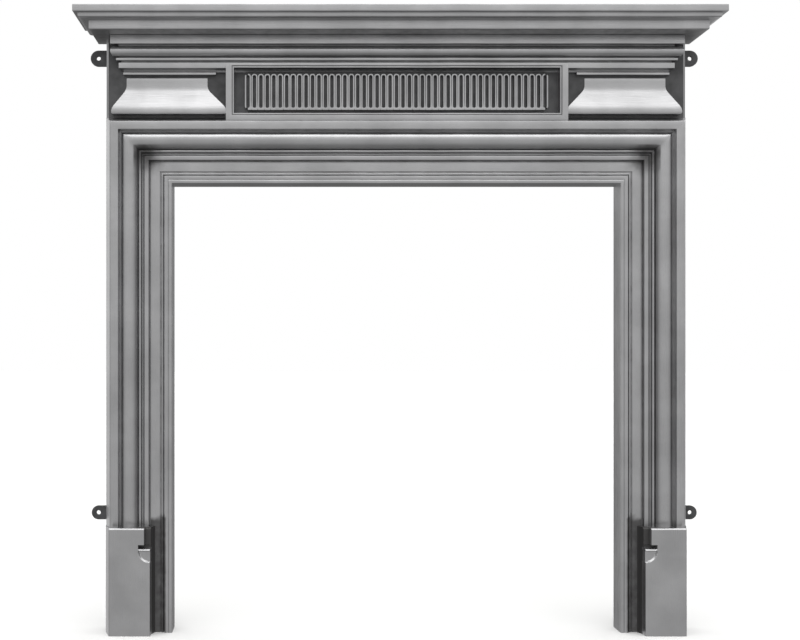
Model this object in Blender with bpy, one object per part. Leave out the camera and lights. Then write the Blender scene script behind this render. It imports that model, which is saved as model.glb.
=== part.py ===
"""Cast iron fireplace surround: a moulded shelf on a front casting with a square opening.

The front faces -Y, the wall side faces +Y, and the feet stand on z = 0. Depth is counted forward
from the wall plane, so a point at depth d lies at y = WALL_Y - d.
"""

import math

import bmesh
import bpy
from mathutils import Matrix, Vector

# Opening and general sizes, in metres
OPENING_WIDTH = 0.965
OPENING_HEIGHT = 0.967
WALL_THICKNESS = 0.006
JOINT_GAP = 0.0003
EMBED = 0.020
BACK_CLEARANCE = 0.010
STEP_DRAFT = 0.0002
WELD = 0.00001

# Architrave members, counted from the outer arris towards the opening
RAIL_WIDTH = 0.0177
RAIL_DEPTH = 0.075
RAIL_BEVEL = 0.0025
RAIL_SIDE = 0.0009
COVE_WIDTH = 0.0070
COVE_DEPTH = 0.061
ROLL_WIDTH = 0.0325
ROLL_CREST = 0.0130
ROLL_DEPTH = 0.073
ROLL_FOOT_DEPTH = 0.0660
BEAD_WIDTH = 0.0060
BEAD_DEPTH = 0.061
QUIRK_WIDTH = 0.0014
QUIRK_FALL = 0.0020
SMALL_BEAD_WIDTH = 0.0030
SMALL_BEAD_DEPTH = 0.0572
STRIP_WIDTH = 0.0098
STRIP_DEPTH = 0.0575
STRIP_BEVEL = 0.0008
STRIP_FALL = 0.0043
BAND_GROOVE_WIDTH = 0.0026
BAND_GROOVE_DEPTH = 0.0445
BAND_WIDTH = 0.0205
BAND_DEPTH = 0.0475
INNER_GROOVE_WIDTH = 0.0035
INNER_BEAD_WIDTH = 0.0040
INNER_BEAD_DEPTH = 0.0490
FILLET_GROOVE_WIDTH = 0.0030
FILLET_WIDTH = 0.0068
FILLET_DEPTH = 0.0540
FILLET_QUIRK_WIDTH = 0.0024
FILLET_QUIRK_FALL = 0.0012
ARRIS_BEVEL = 0.0010

# Outer side of the casting, splayed back from the rail to the ground plate
SPLAY = 0.0125
PLATE_DEPTH = 0.044
PLATE_BEVEL_WIDTH = 0.0050
PLATE_BEVEL_DEPTH = 0.0025

# Entablature members, counted upwards from the top of the architrave
BLOCK_LIFT = 0.0176
BLOCK_HEIGHT = 0.0799
BLOCK_NECK_DEPTH = 0.0460
BLOCK_FRONT_FLARE = 0.0150
BLOCK_OUTER_FLARE = 0.0314
BLOCK_INNER_FLARE = 0.0420
BLOCK_BURY = 0.0012
BLOCK_NECK_HEIGHT = 0.0171
BLOCK_NOSE_HEIGHT = 0.0043
BLOCK_ROUND_HEIGHT = 0.0013
BLOCK_ROUND_SPREAD = 0.98
BLOCK_FOOT_SPREAD = 0.93
BELL_EASE = 0.25
NECK_GROOVE_HEIGHT = 0.0055
NECK_GROOVE_SINK = 0.0040
NECK_FILLET_HEIGHT = 0.0056
NECK_FILLET_PROUD = 0.0065
NECK_FILLET_INNER = 0.0185
NECK_BAND_PROUD = 0.0020
SCOTIA_HEIGHT = 0.0068
SCOTIA_DEPTH = 0.0500
SCOTIA_LIFT = 0.0007
SCOTIA_BEND_HEIGHT = 0.0034
SCOTIA_BEND_PROUD = 0.0028
FASCIA_HEIGHT = 0.0118
FASCIA_DEPTH = 0.0610
FASCIA_GROOVE_HEIGHT = 0.0038
FASCIA_GROOVE_DEPTH = 0.0560
UPPER_FILLET_HEIGHT = 0.0051
UPPER_FILLET_DEPTH = 0.0660
TORUS_GROOVE_HEIGHT = 0.0022
TORUS_GROOVE_DEPTH = 0.0610
TORUS_RADIUS = 0.0110
FRIEZE_GROOVE_HEIGHT = 0.0034
FRIEZE_HEIGHT = 0.0192
FRIEZE_DEPTH = 0.0770
FRIEZE_INSET = 0.0010

# Centre panel
PANEL_WIDTH = 0.732
PANEL_LIFT = 0.0020
PANEL_TOP_DROP = 0.0030
PANEL_DEPTH = 0.0700
PANEL_SIDE_BAND = 0.0130
PANEL_TOP_BAND = 0.0055
PANEL_BOTTOM_BAND = 0.0113
PANEL_QUIRK = 0.0012
PANEL_QUIRK_FALL = 0.0030
PANEL_BEAD = 0.0030
PANEL_BEAD_DEPTH = 0.0690
PANEL_GROUND_DEPTH = 0.0500
SLOT_COUNT = 47
SLOT_PITCH = 0.01387
SLOT_WIDTH = 0.0069
SLOT_HEIGHT = 0.0700
LATTICE_RIM = 0.0032
LATTICE_FOOT = 0.0048
LATTICE_RELIEF = 0.0080
LATTICE_SINK = 0.0030

# Shelf
SHELF_OVERHANG = 0.0675
SHELF_HEIGHT = 0.0441
SHELF_FASCIA_HEIGHT = 0.0146
SHELF_STEP = 0.0095
SHELF_OVOLO_WIDTH = 0.0140
SHELF_OVOLO_HEIGHT = 0.0110
SHELF_OVOLO_FLAT = 0.0035
SHELF_QUIRK = 0.0055
SHELF_LOWER_ROUND = 0.0020
SHELF_ARRIS = 0.0012
SHELF_LIP = 0.0500

# Plinth blocks
PLINTH_HEIGHT = 0.2294
PLINTH_WIDTH = 0.0867
PLINTH_DEPTH = 0.084
PLINTH_PROUD = 0.0010
PLINTH_BEVEL = 0.0030
PLINTH_HOLLOW_WIDTH = 0.0100
STOP_WIDTH = 0.0240
STOP_STEP = 0.0115
STOP_LEVEL = 0.1937
STOP_RECESS = 0.0060
STOP_LEDGE = 0.0060
STOP_SINK = 0.0120
STOP_DISC_SINK = 0.0035
STOP_OVERLAP = 0.0005

# Wall lugs
LUG_THICKNESS = 0.0060
LUG_REACH = 0.0230
LUG_RADIUS = 0.0152
UPPER_LUG_RADIUS = 0.0175
LUG_HOLE_RADIUS = 0.0046
LOWER_LUG_HEIGHT = 0.2520
UPPER_LUG_DROP = 0.0324

# Cored back: where the rail's and the roll's hollows begin and end, and the wall behind the roll
RAIL_HOLLOW_START = 0.0036
ROLL_HOLLOW_START = 0.0065
ROLL_HOLLOW_END = 0.0195
ROLL_HOLLOW_FOOT = 0.0292
ROLL_WALL = 0.0084
PLATE_HOLLOW_LIFT = 0.0035

# Facets of round members, the angle past which an edge stays sharp, and the one that counts as flat
ARC_STEPS = 6
LUG_STEPS = 16
SHARP_ANGLE = math.radians(35)
FLAT_ANGLE = math.radians(0.1)

# Levels and half widths worked out from the sizes above
ARCHITRAVE_WIDTH = (
    RAIL_WIDTH + RAIL_SIDE + COVE_WIDTH + ROLL_WIDTH + BEAD_WIDTH + SMALL_BEAD_WIDTH + STRIP_WIDTH
    + BAND_GROOVE_WIDTH + BAND_WIDTH + INNER_GROOVE_WIDTH + INNER_BEAD_WIDTH + FILLET_GROOVE_WIDTH
    + 2 * FILLET_WIDTH + FILLET_QUIRK_WIDTH + 3 * QUIRK_WIDTH
)
BODY_HALF = OPENING_WIDTH / 2 + ARCHITRAVE_WIDTH
PLATE_HALF = BODY_HALF + SPLAY
ARCHITRAVE_TOP = OPENING_HEIGHT + ARCHITRAVE_WIDTH
BLOCK_BOTTOM = ARCHITRAVE_TOP + BLOCK_LIFT
BLOCK_TOP = BLOCK_BOTTOM + BLOCK_HEIGHT
NECK_FILLET_BOTTOM = BLOCK_TOP + NECK_GROOVE_HEIGHT
SCOTIA_BOTTOM = NECK_FILLET_BOTTOM + NECK_FILLET_HEIGHT
FASCIA_BOTTOM = SCOTIA_BOTTOM + SCOTIA_HEIGHT
FASCIA_TOP = FASCIA_BOTTOM + FASCIA_HEIGHT
UPPER_FILLET_BOTTOM = FASCIA_TOP + FASCIA_GROOVE_HEIGHT
UPPER_FILLET_TOP = UPPER_FILLET_BOTTOM + UPPER_FILLET_HEIGHT
TORUS_BOTTOM = UPPER_FILLET_TOP + TORUS_GROOVE_HEIGHT
TORUS_TOP = TORUS_BOTTOM + 2 * TORUS_RADIUS
FRIEZE_BOTTOM = TORUS_TOP + FRIEZE_GROOVE_HEIGHT
CASTING_TOP = FRIEZE_BOTTOM + FRIEZE_HEIGHT
END_OFFSET = BODY_HALF - FRIEZE_INSET - FRIEZE_DEPTH
SHELF_DEPTH = FRIEZE_DEPTH + SHELF_OVERHANG
SHELF_BOTTOM = CASTING_TOP + JOINT_GAP
SHELF_TOP = SHELF_BOTTOM + SHELF_HEIGHT
WALL_Y = SHELF_DEPTH / 2


def at(x, depth, z):
    """Place a point that lies the given depth forward of the wall plane."""
    return Vector((x, WALL_Y - depth, z))


def arc(centre, radius, start, end, steps=ARC_STEPS):
    """Points on an ellipse arc in a profile plane, with angles in degrees."""
    points = []
    for step in range(steps + 1):
        angle = math.radians(start + (end - start) * step / steps)
        points.append((centre[0] + radius[0] * math.cos(angle), centre[1] + radius[1] * math.sin(angle)))
    return points


def closed_object(name, bm, collection):
    """Turn the bmesh into an object with its faces pointing out."""
    bmesh.ops.recalc_face_normals(bm, faces=bm.faces)
    mesh = bpy.data.meshes.new(name)
    bm.to_mesh(mesh)
    bm.free()
    obj = bpy.data.objects.new(name, mesh)
    collection.objects.link(obj)
    return obj


def loft(name, rings, collection):
    """Closed body through rings of equal length, capped at both ends."""
    bm = bmesh.new()
    rows = [[bm.verts.new(point) for point in ring] for ring in rings]
    count = len(rows[0])
    for near, far in zip(rows, rows[1:]):
        for i in range(count):
            j = (i + 1) % count
            bm.faces.new((near[i], near[j], far[j], far[i]))
    bm.faces.new(rows[0])
    bm.faces.new(rows[-1])
    return closed_object(name, bm, collection)


def box(name, x_range, depth_range, z_range, collection):
    """Rectangular block between the given limits."""
    bm = bmesh.new()
    centre = at(sum(x_range) / 2, sum(depth_range) / 2, sum(z_range) / 2)
    size = (x_range[1] - x_range[0], depth_range[1] - depth_range[0], z_range[1] - z_range[0])
    bmesh.ops.create_cube(bm, size=1.0, matrix=Matrix.Translation(centre) @ Matrix.Diagonal((*size, 1.0)))
    return closed_object(name, bm, collection)


def rectangle_ring(x_low, x_high, back, front, z):
    """Plan rectangle at one level."""
    return [at(x_low, back, z), at(x_high, back, z), at(x_high, front, z), at(x_low, front, z)]


def curve_plate(name, outlines, thickness, collection):
    """Flat plate from 2D outlines, holes included, made a mesh; it lies in XY and rises along Z."""
    curve = bpy.data.curves.new(name, "CURVE")
    curve.dimensions = "2D"
    curve.fill_mode = "BOTH"
    curve.extrude = thickness / 2
    for outline in outlines:
        spline = curve.splines.new("POLY")
        spline.points.add(len(outline) - 1)
        for point, (x, y) in zip(spline.points, outline):
            point.co = (x, y, 0.0, 1.0)
        spline.use_cyclic_u = True
    source = bpy.data.objects.new(name, curve)
    collection.objects.link(source)
    depsgraph = bpy.context.evaluated_depsgraph_get()
    mesh = bpy.data.meshes.new_from_object(source.evaluated_get(depsgraph))
    matrix = source.matrix_world.copy()
    bpy.data.objects.remove(source)
    bm = bmesh.new()
    bm.from_mesh(mesh)
    bpy.data.meshes.remove(mesh)
    bmesh.ops.remove_doubles(bm, verts=bm.verts, dist=WELD)
    plate = closed_object(name, bm, collection)
    plate.matrix_world = matrix
    return plate


def place(obj, matrix):
    """Move the object's mesh itself, so that the object stays at the origin."""
    obj.data.transform(matrix)
    if matrix.determinant() < 0:
        obj.data.flip_normals()
    return obj


def mirrored(obj, name, collection):
    """Copy of the object on the other side of the middle plane."""
    copy = bpy.data.objects.new(name, obj.data.copy())
    collection.objects.link(copy)
    return place(copy, Matrix.Diagonal((-1.0, 1.0, 1.0, 1.0)))


def combine(body, tools, operation):
    """Unite the body with its tools, or cut them from it, and use the tools up.

    The pieces share the wall plane and other flat faces, where the exact solver leaves open edges,
    so the manifold one does the work: every piece here is closed.
    """
    for tool in tools:
        modifier = body.modifiers.new(tool.name, "BOOLEAN")
        modifier.operation = operation
        modifier.solver = "MANIFOLD"
        modifier.object = tool
        depsgraph = bpy.context.evaluated_depsgraph_get()
        mesh = bpy.data.meshes.new_from_object(body.evaluated_get(depsgraph))
        body.modifiers.remove(modifier)
        old = body.data
        body.data = mesh
        bpy.data.meshes.remove(old)
        bpy.data.objects.remove(tool)


def tidy(obj):
    """Weld what the cuts left double, merge flat neighbours and shade the round members smooth."""
    bm = bmesh.new()
    bm.from_mesh(obj.data)
    bmesh.ops.remove_doubles(bm, verts=bm.verts, dist=WELD)
    bmesh.ops.dissolve_degenerate(bm, edges=bm.edges, dist=WELD)
    bmesh.ops.dissolve_limit(bm, angle_limit=FLAT_ANGLE, verts=bm.verts, edges=bm.edges)
    bmesh.ops.triangulate(bm, faces=bm.faces)
    bm.to_mesh(obj.data)
    bm.free()
    obj.data.shade_smooth()
    obj.data.set_sharp_from_angle(angle=SHARP_ANGLE)


def iron_material(name, colour, roughness):
    """Cast iron with the given sheen."""
    material = bpy.data.materials.new(name)
    material.use_nodes = True
    shader = material.node_tree.nodes["Principled BSDF"]
    shader.inputs["Base Color"].default_value = (*colour, 1.0)
    shader.inputs["Metallic"].default_value = 1.0
    shader.inputs["Roughness"].default_value = roughness
    return material


def bead(start, width, foot, crown, steps=ARC_STEPS):
    """Half-round member of the given width that rises from its foot depth to its crown depth."""
    return arc((start + width / 2, foot), (width / 2, crown - foot), 180, 0, steps)


def architrave_profile():
    """Front line of the architrave as (distance from the outer arris, depth), outer side first."""
    line = [(-SPLAY, 0.0), (-SPLAY, PLATE_DEPTH), (0.0, RAIL_DEPTH - RAIL_BEVEL), (RAIL_BEVEL, RAIL_DEPTH)]
    u = RAIL_WIDTH
    line.append((u, RAIL_DEPTH))
    u += RAIL_SIDE
    line += arc((u, ROLL_FOOT_DEPTH), (COVE_WIDTH, ROLL_FOOT_DEPTH - COVE_DEPTH), 270, 350, 4)
    u += COVE_WIDTH
    bead_foot = BEAD_DEPTH - BEAD_WIDTH / 2
    crown = u + ROLL_CREST
    line += arc((crown, ROLL_FOOT_DEPTH), (ROLL_CREST, ROLL_DEPTH - ROLL_FOOT_DEPTH), 170, 90)
    line += arc((crown, bead_foot), (ROLL_WIDTH - ROLL_CREST, ROLL_DEPTH - bead_foot), 80, 10)
    u += ROLL_WIDTH
    line += [(u, bead_foot - QUIRK_FALL), (u + QUIRK_WIDTH, bead_foot - QUIRK_FALL)]
    u += QUIRK_WIDTH
    line += bead(u, BEAD_WIDTH, bead_foot, BEAD_DEPTH)
    u += BEAD_WIDTH
    small_foot = SMALL_BEAD_DEPTH - SMALL_BEAD_WIDTH / 2
    line += [(u, small_foot - QUIRK_FALL / 2), (u + QUIRK_WIDTH, small_foot - QUIRK_FALL / 2)]
    u += QUIRK_WIDTH
    line += bead(u, SMALL_BEAD_WIDTH, small_foot, SMALL_BEAD_DEPTH, 4)
    u += SMALL_BEAD_WIDTH
    strip_foot = STRIP_DEPTH - STRIP_FALL
    line += [(u, strip_foot), (u + QUIRK_WIDTH, strip_foot)]
    u += QUIRK_WIDTH
    line += [(u, STRIP_DEPTH - STRIP_BEVEL), (u + STRIP_BEVEL, STRIP_DEPTH)]
    u += STRIP_WIDTH
    line += [(u - STRIP_BEVEL, STRIP_DEPTH), (u, STRIP_DEPTH - STRIP_BEVEL)]
    line += [(u, BAND_GROOVE_DEPTH), (u + BAND_GROOVE_WIDTH, BAND_GROOVE_DEPTH)]
    u += BAND_GROOVE_WIDTH
    line += [(u, BAND_DEPTH), (u + BAND_WIDTH, BAND_DEPTH)]
    u += BAND_WIDTH
    line += [(u, BAND_GROOVE_DEPTH), (u + INNER_GROOVE_WIDTH, BAND_GROOVE_DEPTH)]
    u += INNER_GROOVE_WIDTH
    line += bead(u, INNER_BEAD_WIDTH, INNER_BEAD_DEPTH - INNER_BEAD_WIDTH / 2, INNER_BEAD_DEPTH, 4)
    u += INNER_BEAD_WIDTH
    line += [(u, BAND_GROOVE_DEPTH), (u + FILLET_GROOVE_WIDTH, BAND_GROOVE_DEPTH)]
    u += FILLET_GROOVE_WIDTH
    line += [(u, FILLET_DEPTH), (u + FILLET_WIDTH, FILLET_DEPTH)]
    u += FILLET_WIDTH
    quirk_middle = u + FILLET_QUIRK_WIDTH / 2
    line.append((quirk_middle, FILLET_DEPTH - FILLET_QUIRK_FALL))
    u += FILLET_QUIRK_WIDTH
    line += [(u, FILLET_DEPTH), (ARCHITRAVE_WIDTH - ARRIS_BEVEL, FILLET_DEPTH)]
    line += [(ARCHITRAVE_WIDTH, FILLET_DEPTH - ARRIS_BEVEL), (ARCHITRAVE_WIDTH, 0.0)]
    return line


def architrave_hollow():
    """Back line of the architrave, a wall's thickness behind the front line."""
    rail_back = RAIL_WIDTH - WALL_THICKNESS
    cove_back = COVE_DEPTH - WALL_THICKNESS
    roll_start = RAIL_WIDTH + RAIL_SIDE + COVE_WIDTH
    band_start = ARCHITRAVE_WIDTH - 2 * FILLET_WIDTH - FILLET_QUIRK_WIDTH - FILLET_GROOVE_WIDTH
    band_start -= INNER_BEAD_WIDTH + INNER_GROOVE_WIDTH + BAND_WIDTH + BAND_GROOVE_WIDTH
    band_back = BAND_GROOVE_DEPTH - WALL_THICKNESS
    inner_side = ARCHITRAVE_WIDTH - WALL_THICKNESS
    return [
        (WALL_THICKNESS - SPLAY, -BACK_CLEARANCE),
        (WALL_THICKNESS - SPLAY, PLATE_DEPTH - WALL_THICKNESS),
        (RAIL_HOLLOW_START, RAIL_DEPTH - WALL_THICKNESS),
        (rail_back, RAIL_DEPTH - WALL_THICKNESS),
        (rail_back + RAIL_SIDE, cove_back),
        (roll_start, cove_back),
        (roll_start + ROLL_HOLLOW_START, ROLL_DEPTH - ROLL_WALL),
        (roll_start + ROLL_HOLLOW_END, ROLL_DEPTH - ROLL_WALL),
        (roll_start + ROLL_HOLLOW_FOOT, cove_back - QUIRK_FALL),
        (band_start, band_back + QUIRK_FALL),
        (band_start + BAND_GROOVE_WIDTH, band_back),
        (inner_side, band_back),
        (inner_side, -BACK_CLEARANCE),
    ]


def around_opening(name, profile, foot_level, collection):
    """Carry a profile up one leg, along the lintel and down the other leg, mitred at 45 degrees."""
    stations = ((-1.0, True), (-1.0, False), (1.0, False), (1.0, True))
    rings = []
    for side, is_foot in stations:
        ring = []
        for u, depth in profile:
            level = foot_level if is_foot else ARCHITRAVE_TOP - u
            ring.append(at(side * (BODY_HALF - u), depth, level))
        rings.append(ring)
    return loft(name, rings, collection)


def entablature_line():
    """Front line of the continuous mouldings above the panel as (level, depth), upwards."""
    line = [(SCOTIA_BOTTOM + SCOTIA_LIFT, SCOTIA_DEPTH)]
    line += [(SCOTIA_BOTTOM + SCOTIA_BEND_HEIGHT, SCOTIA_DEPTH + SCOTIA_BEND_PROUD)]
    line += [(FASCIA_BOTTOM, FASCIA_DEPTH - QUIRK_FALL), (FASCIA_BOTTOM, FASCIA_DEPTH)]
    line += [(FASCIA_TOP, FASCIA_DEPTH), (FASCIA_TOP, FASCIA_GROOVE_DEPTH)]
    line += [(UPPER_FILLET_BOTTOM, FASCIA_GROOVE_DEPTH), (UPPER_FILLET_BOTTOM, UPPER_FILLET_DEPTH)]
    line += [(UPPER_FILLET_TOP, UPPER_FILLET_DEPTH), (UPPER_FILLET_TOP, TORUS_GROOVE_DEPTH)]
    torus_centre = (FRIEZE_DEPTH - TORUS_RADIUS, TORUS_BOTTOM + TORUS_RADIUS)
    turned = arc(torus_centre, (TORUS_RADIUS, TORUS_RADIUS), -110, 110, 2 * ARC_STEPS)
    line += [(level, depth) for depth, level in turned]
    line += [(FRIEZE_BOTTOM, TORUS_GROOVE_DEPTH), (FRIEZE_BOTTOM, FRIEZE_DEPTH), (CASTING_TOP, FRIEZE_DEPTH)]
    return line


def drafted(line):
    """Give each flat step of a line that runs upwards a little draft, as a pattern has."""
    levels = [line[0][0]]
    for point in line[1:]:
        levels.append(max(point[0], levels[-1] + STEP_DRAFT))
    return [(level, *rest[1:]) for level, rest in zip(levels, line)]


def returned_moulding(name, line, back, collection):
    """Moulding that runs along the front and is mitred and returned at both ends."""
    rings = []
    for level, depth in drafted(line):
        half = END_OFFSET + depth
        rings.append(rectangle_ring(-half, half, back, depth, level))
    return loft(name, rings, collection)


def bell_share(way):
    """Share of the flare on the way from 0 at the neck to 1 at the nose: a slope eased at both ends."""
    scale = 2 * BELL_EASE * (1 - BELL_EASE)
    if way < BELL_EASE:
        return way ** 2 / scale
    if way > 1 - BELL_EASE:
        return 1 - (1 - way) ** 2 / scale
    return (way - BELL_EASE / 2) / (1 - BELL_EASE)


def flared(level, share):
    """A level of the block with how far it spreads forward, outward and inward."""
    return (level, BLOCK_FRONT_FLARE * share, BLOCK_OUTER_FLARE * share, BLOCK_INNER_FLARE * share)


def end_block(name, inset, bottom_inset, back, collection):
    """Bell-shaped block with its neck fillet, mitred on three sides; the inset makes its hollow."""
    outer_neck = END_OFFSET + BLOCK_NECK_DEPTH - inset
    inner_neck = PANEL_WIDTH / 2 + BLOCK_INNER_FLARE - BLOCK_BURY + inset
    nose_level = BLOCK_BOTTOM + BLOCK_NOSE_HEIGHT
    neck_level = BLOCK_TOP - BLOCK_NECK_HEIGHT
    round_level = BLOCK_BOTTOM + max(bottom_inset, BLOCK_ROUND_HEIGHT)
    spreads = [flared(BLOCK_BOTTOM + bottom_inset, BLOCK_FOOT_SPREAD)]
    spreads.append(flared(round_level, BLOCK_ROUND_SPREAD))
    steps = 2 * ARC_STEPS
    for step in range(steps + 1):
        way = 1 - step / steps
        spreads.append(flared(nose_level + (neck_level - nose_level) * (1 - way), bell_share(way)))
    if inset:
        spreads.append(flared(BLOCK_TOP - inset, 0.0))
    else:
        groove = (-NECK_GROOVE_SINK, -NECK_GROOVE_SINK, -NECK_GROOVE_SINK)
        fillet = (NECK_FILLET_PROUD, NECK_FILLET_PROUD, NECK_FILLET_INNER)
        band = (NECK_BAND_PROUD, NECK_BAND_PROUD, NECK_BAND_PROUD)
        spreads += [flared(BLOCK_TOP, 0.0), (BLOCK_TOP, *groove), (NECK_FILLET_BOTTOM, *groove)]
        spreads += [(NECK_FILLET_BOTTOM, *fillet), (SCOTIA_BOTTOM, *fillet)]
        spreads += [(SCOTIA_BOTTOM, *band), (FASCIA_BOTTOM, *band)]
    rings = []
    for level, front, outer, inner in drafted(spreads):
        depth = BLOCK_NECK_DEPTH + front - inset
        rings.append(rectangle_ring(inner_neck - inner, outer_neck + outer, back, depth, level))
    return loft(name, rings, collection)


def panel_recess(name, collection):
    """Cutter for the sunk panel: a quirk, a bead and a straight wall down to the ground."""
    half = PANEL_WIDTH / 2 - PANEL_SIDE_BAND
    low = ARCHITRAVE_TOP + PANEL_LIFT + PANEL_BOTTOM_BAND
    high = FASCIA_TOP - PANEL_TOP_DROP - PANEL_TOP_BAND
    quirk_depth = PANEL_BEAD_DEPTH - PANEL_QUIRK_FALL
    steps = ((0.0, PANEL_DEPTH + BACK_CLEARANCE), (0.0, quirk_depth), (PANEL_QUIRK, quirk_depth))
    steps += ((PANEL_QUIRK, PANEL_BEAD_DEPTH), (PANEL_QUIRK + PANEL_BEAD, PANEL_BEAD_DEPTH))
    steps += ((PANEL_QUIRK + PANEL_BEAD, PANEL_GROUND_DEPTH),)
    rings = []
    for inset, depth in steps:
        x = half - inset
        rings.append([
            at(-x, depth, low + inset), at(x, depth, low + inset),
            at(x, depth, high - inset), at(-x, depth, high - inset),
        ])
    return loft(name, rings, collection)


def stadium(centre_x, width, height):
    """Outline of an upright slot with round ends."""
    radius = width / 2
    straight = height / 2 - radius
    top = arc((centre_x, straight), (radius, radius), 0, 180)
    bottom = arc((centre_x, -straight), (radius, radius), 180, 360)
    return top + bottom


def lattice(name, collection):
    """Raised bars between round-ended slots, with a scalloped rim above and a straight foot below."""
    outlines = []
    centres = [(index - (SLOT_COUNT - 1) / 2) * SLOT_PITCH for index in range(SLOT_COUNT)]
    outer_radius = SLOT_WIDTH / 2 + LATTICE_RIM
    arc_level = SLOT_HEIGHT / 2 - SLOT_WIDTH / 2
    cusp_angle = math.degrees(math.acos(min(1.0, SLOT_PITCH / 2 / outer_radius)))
    upper = []
    for index, x in enumerate(reversed(centres)):
        start = 0.0 if index == 0 else cusp_angle
        end = 180.0 if index == SLOT_COUNT - 1 else 180.0 - cusp_angle
        points = arc((x, arc_level), (outer_radius, outer_radius), start, end, 4)
        upper += points if index == 0 else points[1:]
    edge = centres[-1] + outer_radius
    foot = -SLOT_HEIGHT / 2 - LATTICE_FOOT
    outlines.append(upper + [(-edge, foot), (edge, foot)])
    outlines += [stadium(x, SLOT_WIDTH, SLOT_HEIGHT) for x in centres]
    plate = curve_plate(name, outlines, LATTICE_RELIEF + LATTICE_SINK, collection)
    low = ARCHITRAVE_TOP + PANEL_LIFT + PANEL_BOTTOM_BAND
    high = FASCIA_TOP - PANEL_TOP_DROP - PANEL_TOP_BAND
    middle_depth = PANEL_GROUND_DEPTH + (LATTICE_RELIEF - LATTICE_SINK) / 2
    upright = Matrix.Rotation(math.radians(90), 4, "X")
    return place(plate, Matrix.Translation(at(0.0, middle_depth, (low + high) / 2)) @ upright)


def plinth_outline(top_inset):
    """Plan of a plinth block as (distance from the rail's outer arris, depth)."""
    front = PLINTH_DEPTH - top_inset
    outline = [(-SPLAY - PLINTH_PROUD, 0.0), (-SPLAY - PLINTH_PROUD, PLATE_DEPTH)]
    outline += [(-PLINTH_PROUD, front - PLINTH_BEVEL), (PLINTH_BEVEL - PLINTH_PROUD, front)]
    hollow_depth = front - BAND_DEPTH + QUIRK_FALL
    corner = PLINTH_WIDTH + PLINTH_HOLLOW_WIDTH
    outline += arc((corner, front), (PLINTH_HOLLOW_WIDTH, hollow_depth), 180, 270)
    outline.append((corner, 0.0))
    return outline


def plinth(name, collection):
    """Right-hand plinth block, with a small bevel along its top."""
    levels = ((0.0, 0.0), (PLINTH_HEIGHT - PLINTH_BEVEL, 0.0), (PLINTH_HEIGHT, PLINTH_BEVEL))
    rings = []
    for level, top_inset in levels:
        rings.append([at(BODY_HALF - u, depth, level) for u, depth in plinth_outline(top_inset)])
    return loft(name, rings, collection)


def stop_cutters(collection):
    """The carved stop at the plinth's inner top corner.

    A step runs down from the block's top to a wider recess, a ledge slopes forward under it to the
    face, and a shallow quarter disc is sunk below, centred on the block's inner arris.
    """
    inner = BODY_HALF - PLINTH_WIDTH
    side = inner - PLINTH_HOLLOW_WIDTH
    floor = PLINTH_DEPTH - STOP_SINK
    front = PLINTH_DEPTH + BACK_CLEARANCE
    step_levels = (STOP_LEVEL - STOP_RECESS / 2, PLINTH_HEIGHT + BACK_CLEARANCE)
    step = box("stop_step", (side, inner + STOP_STEP), (floor, front), step_levels, collection)
    recess_bottom = STOP_LEVEL - STOP_RECESS
    ledge_bottom = recess_bottom - STOP_LEDGE
    section = [(front, STOP_LEVEL), (floor, STOP_LEVEL), (floor, recess_bottom)]
    section += [(PLINTH_DEPTH, ledge_bottom), (front, ledge_bottom)]
    rings = [[at(x, depth, z) for depth, z in section] for x in (side, inner + STOP_WIDTH)]
    recess = loft("stop_recess", rings, collection)
    disc_top = ledge_bottom + STOP_OVERLAP
    quarter = [(side, disc_top), (inner + STOP_WIDTH, disc_top)]
    quarter += arc((inner, ledge_bottom), (STOP_WIDTH, STOP_WIDTH), 0, -90)
    quarter.append((side, ledge_bottom - STOP_WIDTH))
    disc_depths = (PLINTH_DEPTH - STOP_DISC_SINK, front)
    disc = loft("stop_disc", [[at(x, depth, z) for x, z in quarter] for depth in disc_depths], collection)
    return [step, recess, disc]


def lug(name, radius, level, collection):
    """Right-hand lug: a tongue with a round end and a screw hole, flat against the wall."""
    root = PLATE_HALF - WALL_THICKNESS / 2
    centre = PLATE_HALF + LUG_REACH
    outline = [(root, -radius)]
    outline += arc((centre, 0.0), (radius, radius), -90, 90, LUG_STEPS // 2)
    outline.append((root, radius))
    hole = arc((centre, 0.0), (LUG_HOLE_RADIUS, LUG_HOLE_RADIUS), 0, 360, LUG_STEPS)[:-1]
    plate = curve_plate(name, [outline, hole], LUG_THICKNESS, collection)
    upright = Matrix.Rotation(math.radians(90), 4, "X")
    return place(plate, Matrix.Translation(at(0.0, LUG_THICKNESS / 2, level)) @ upright)


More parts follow.
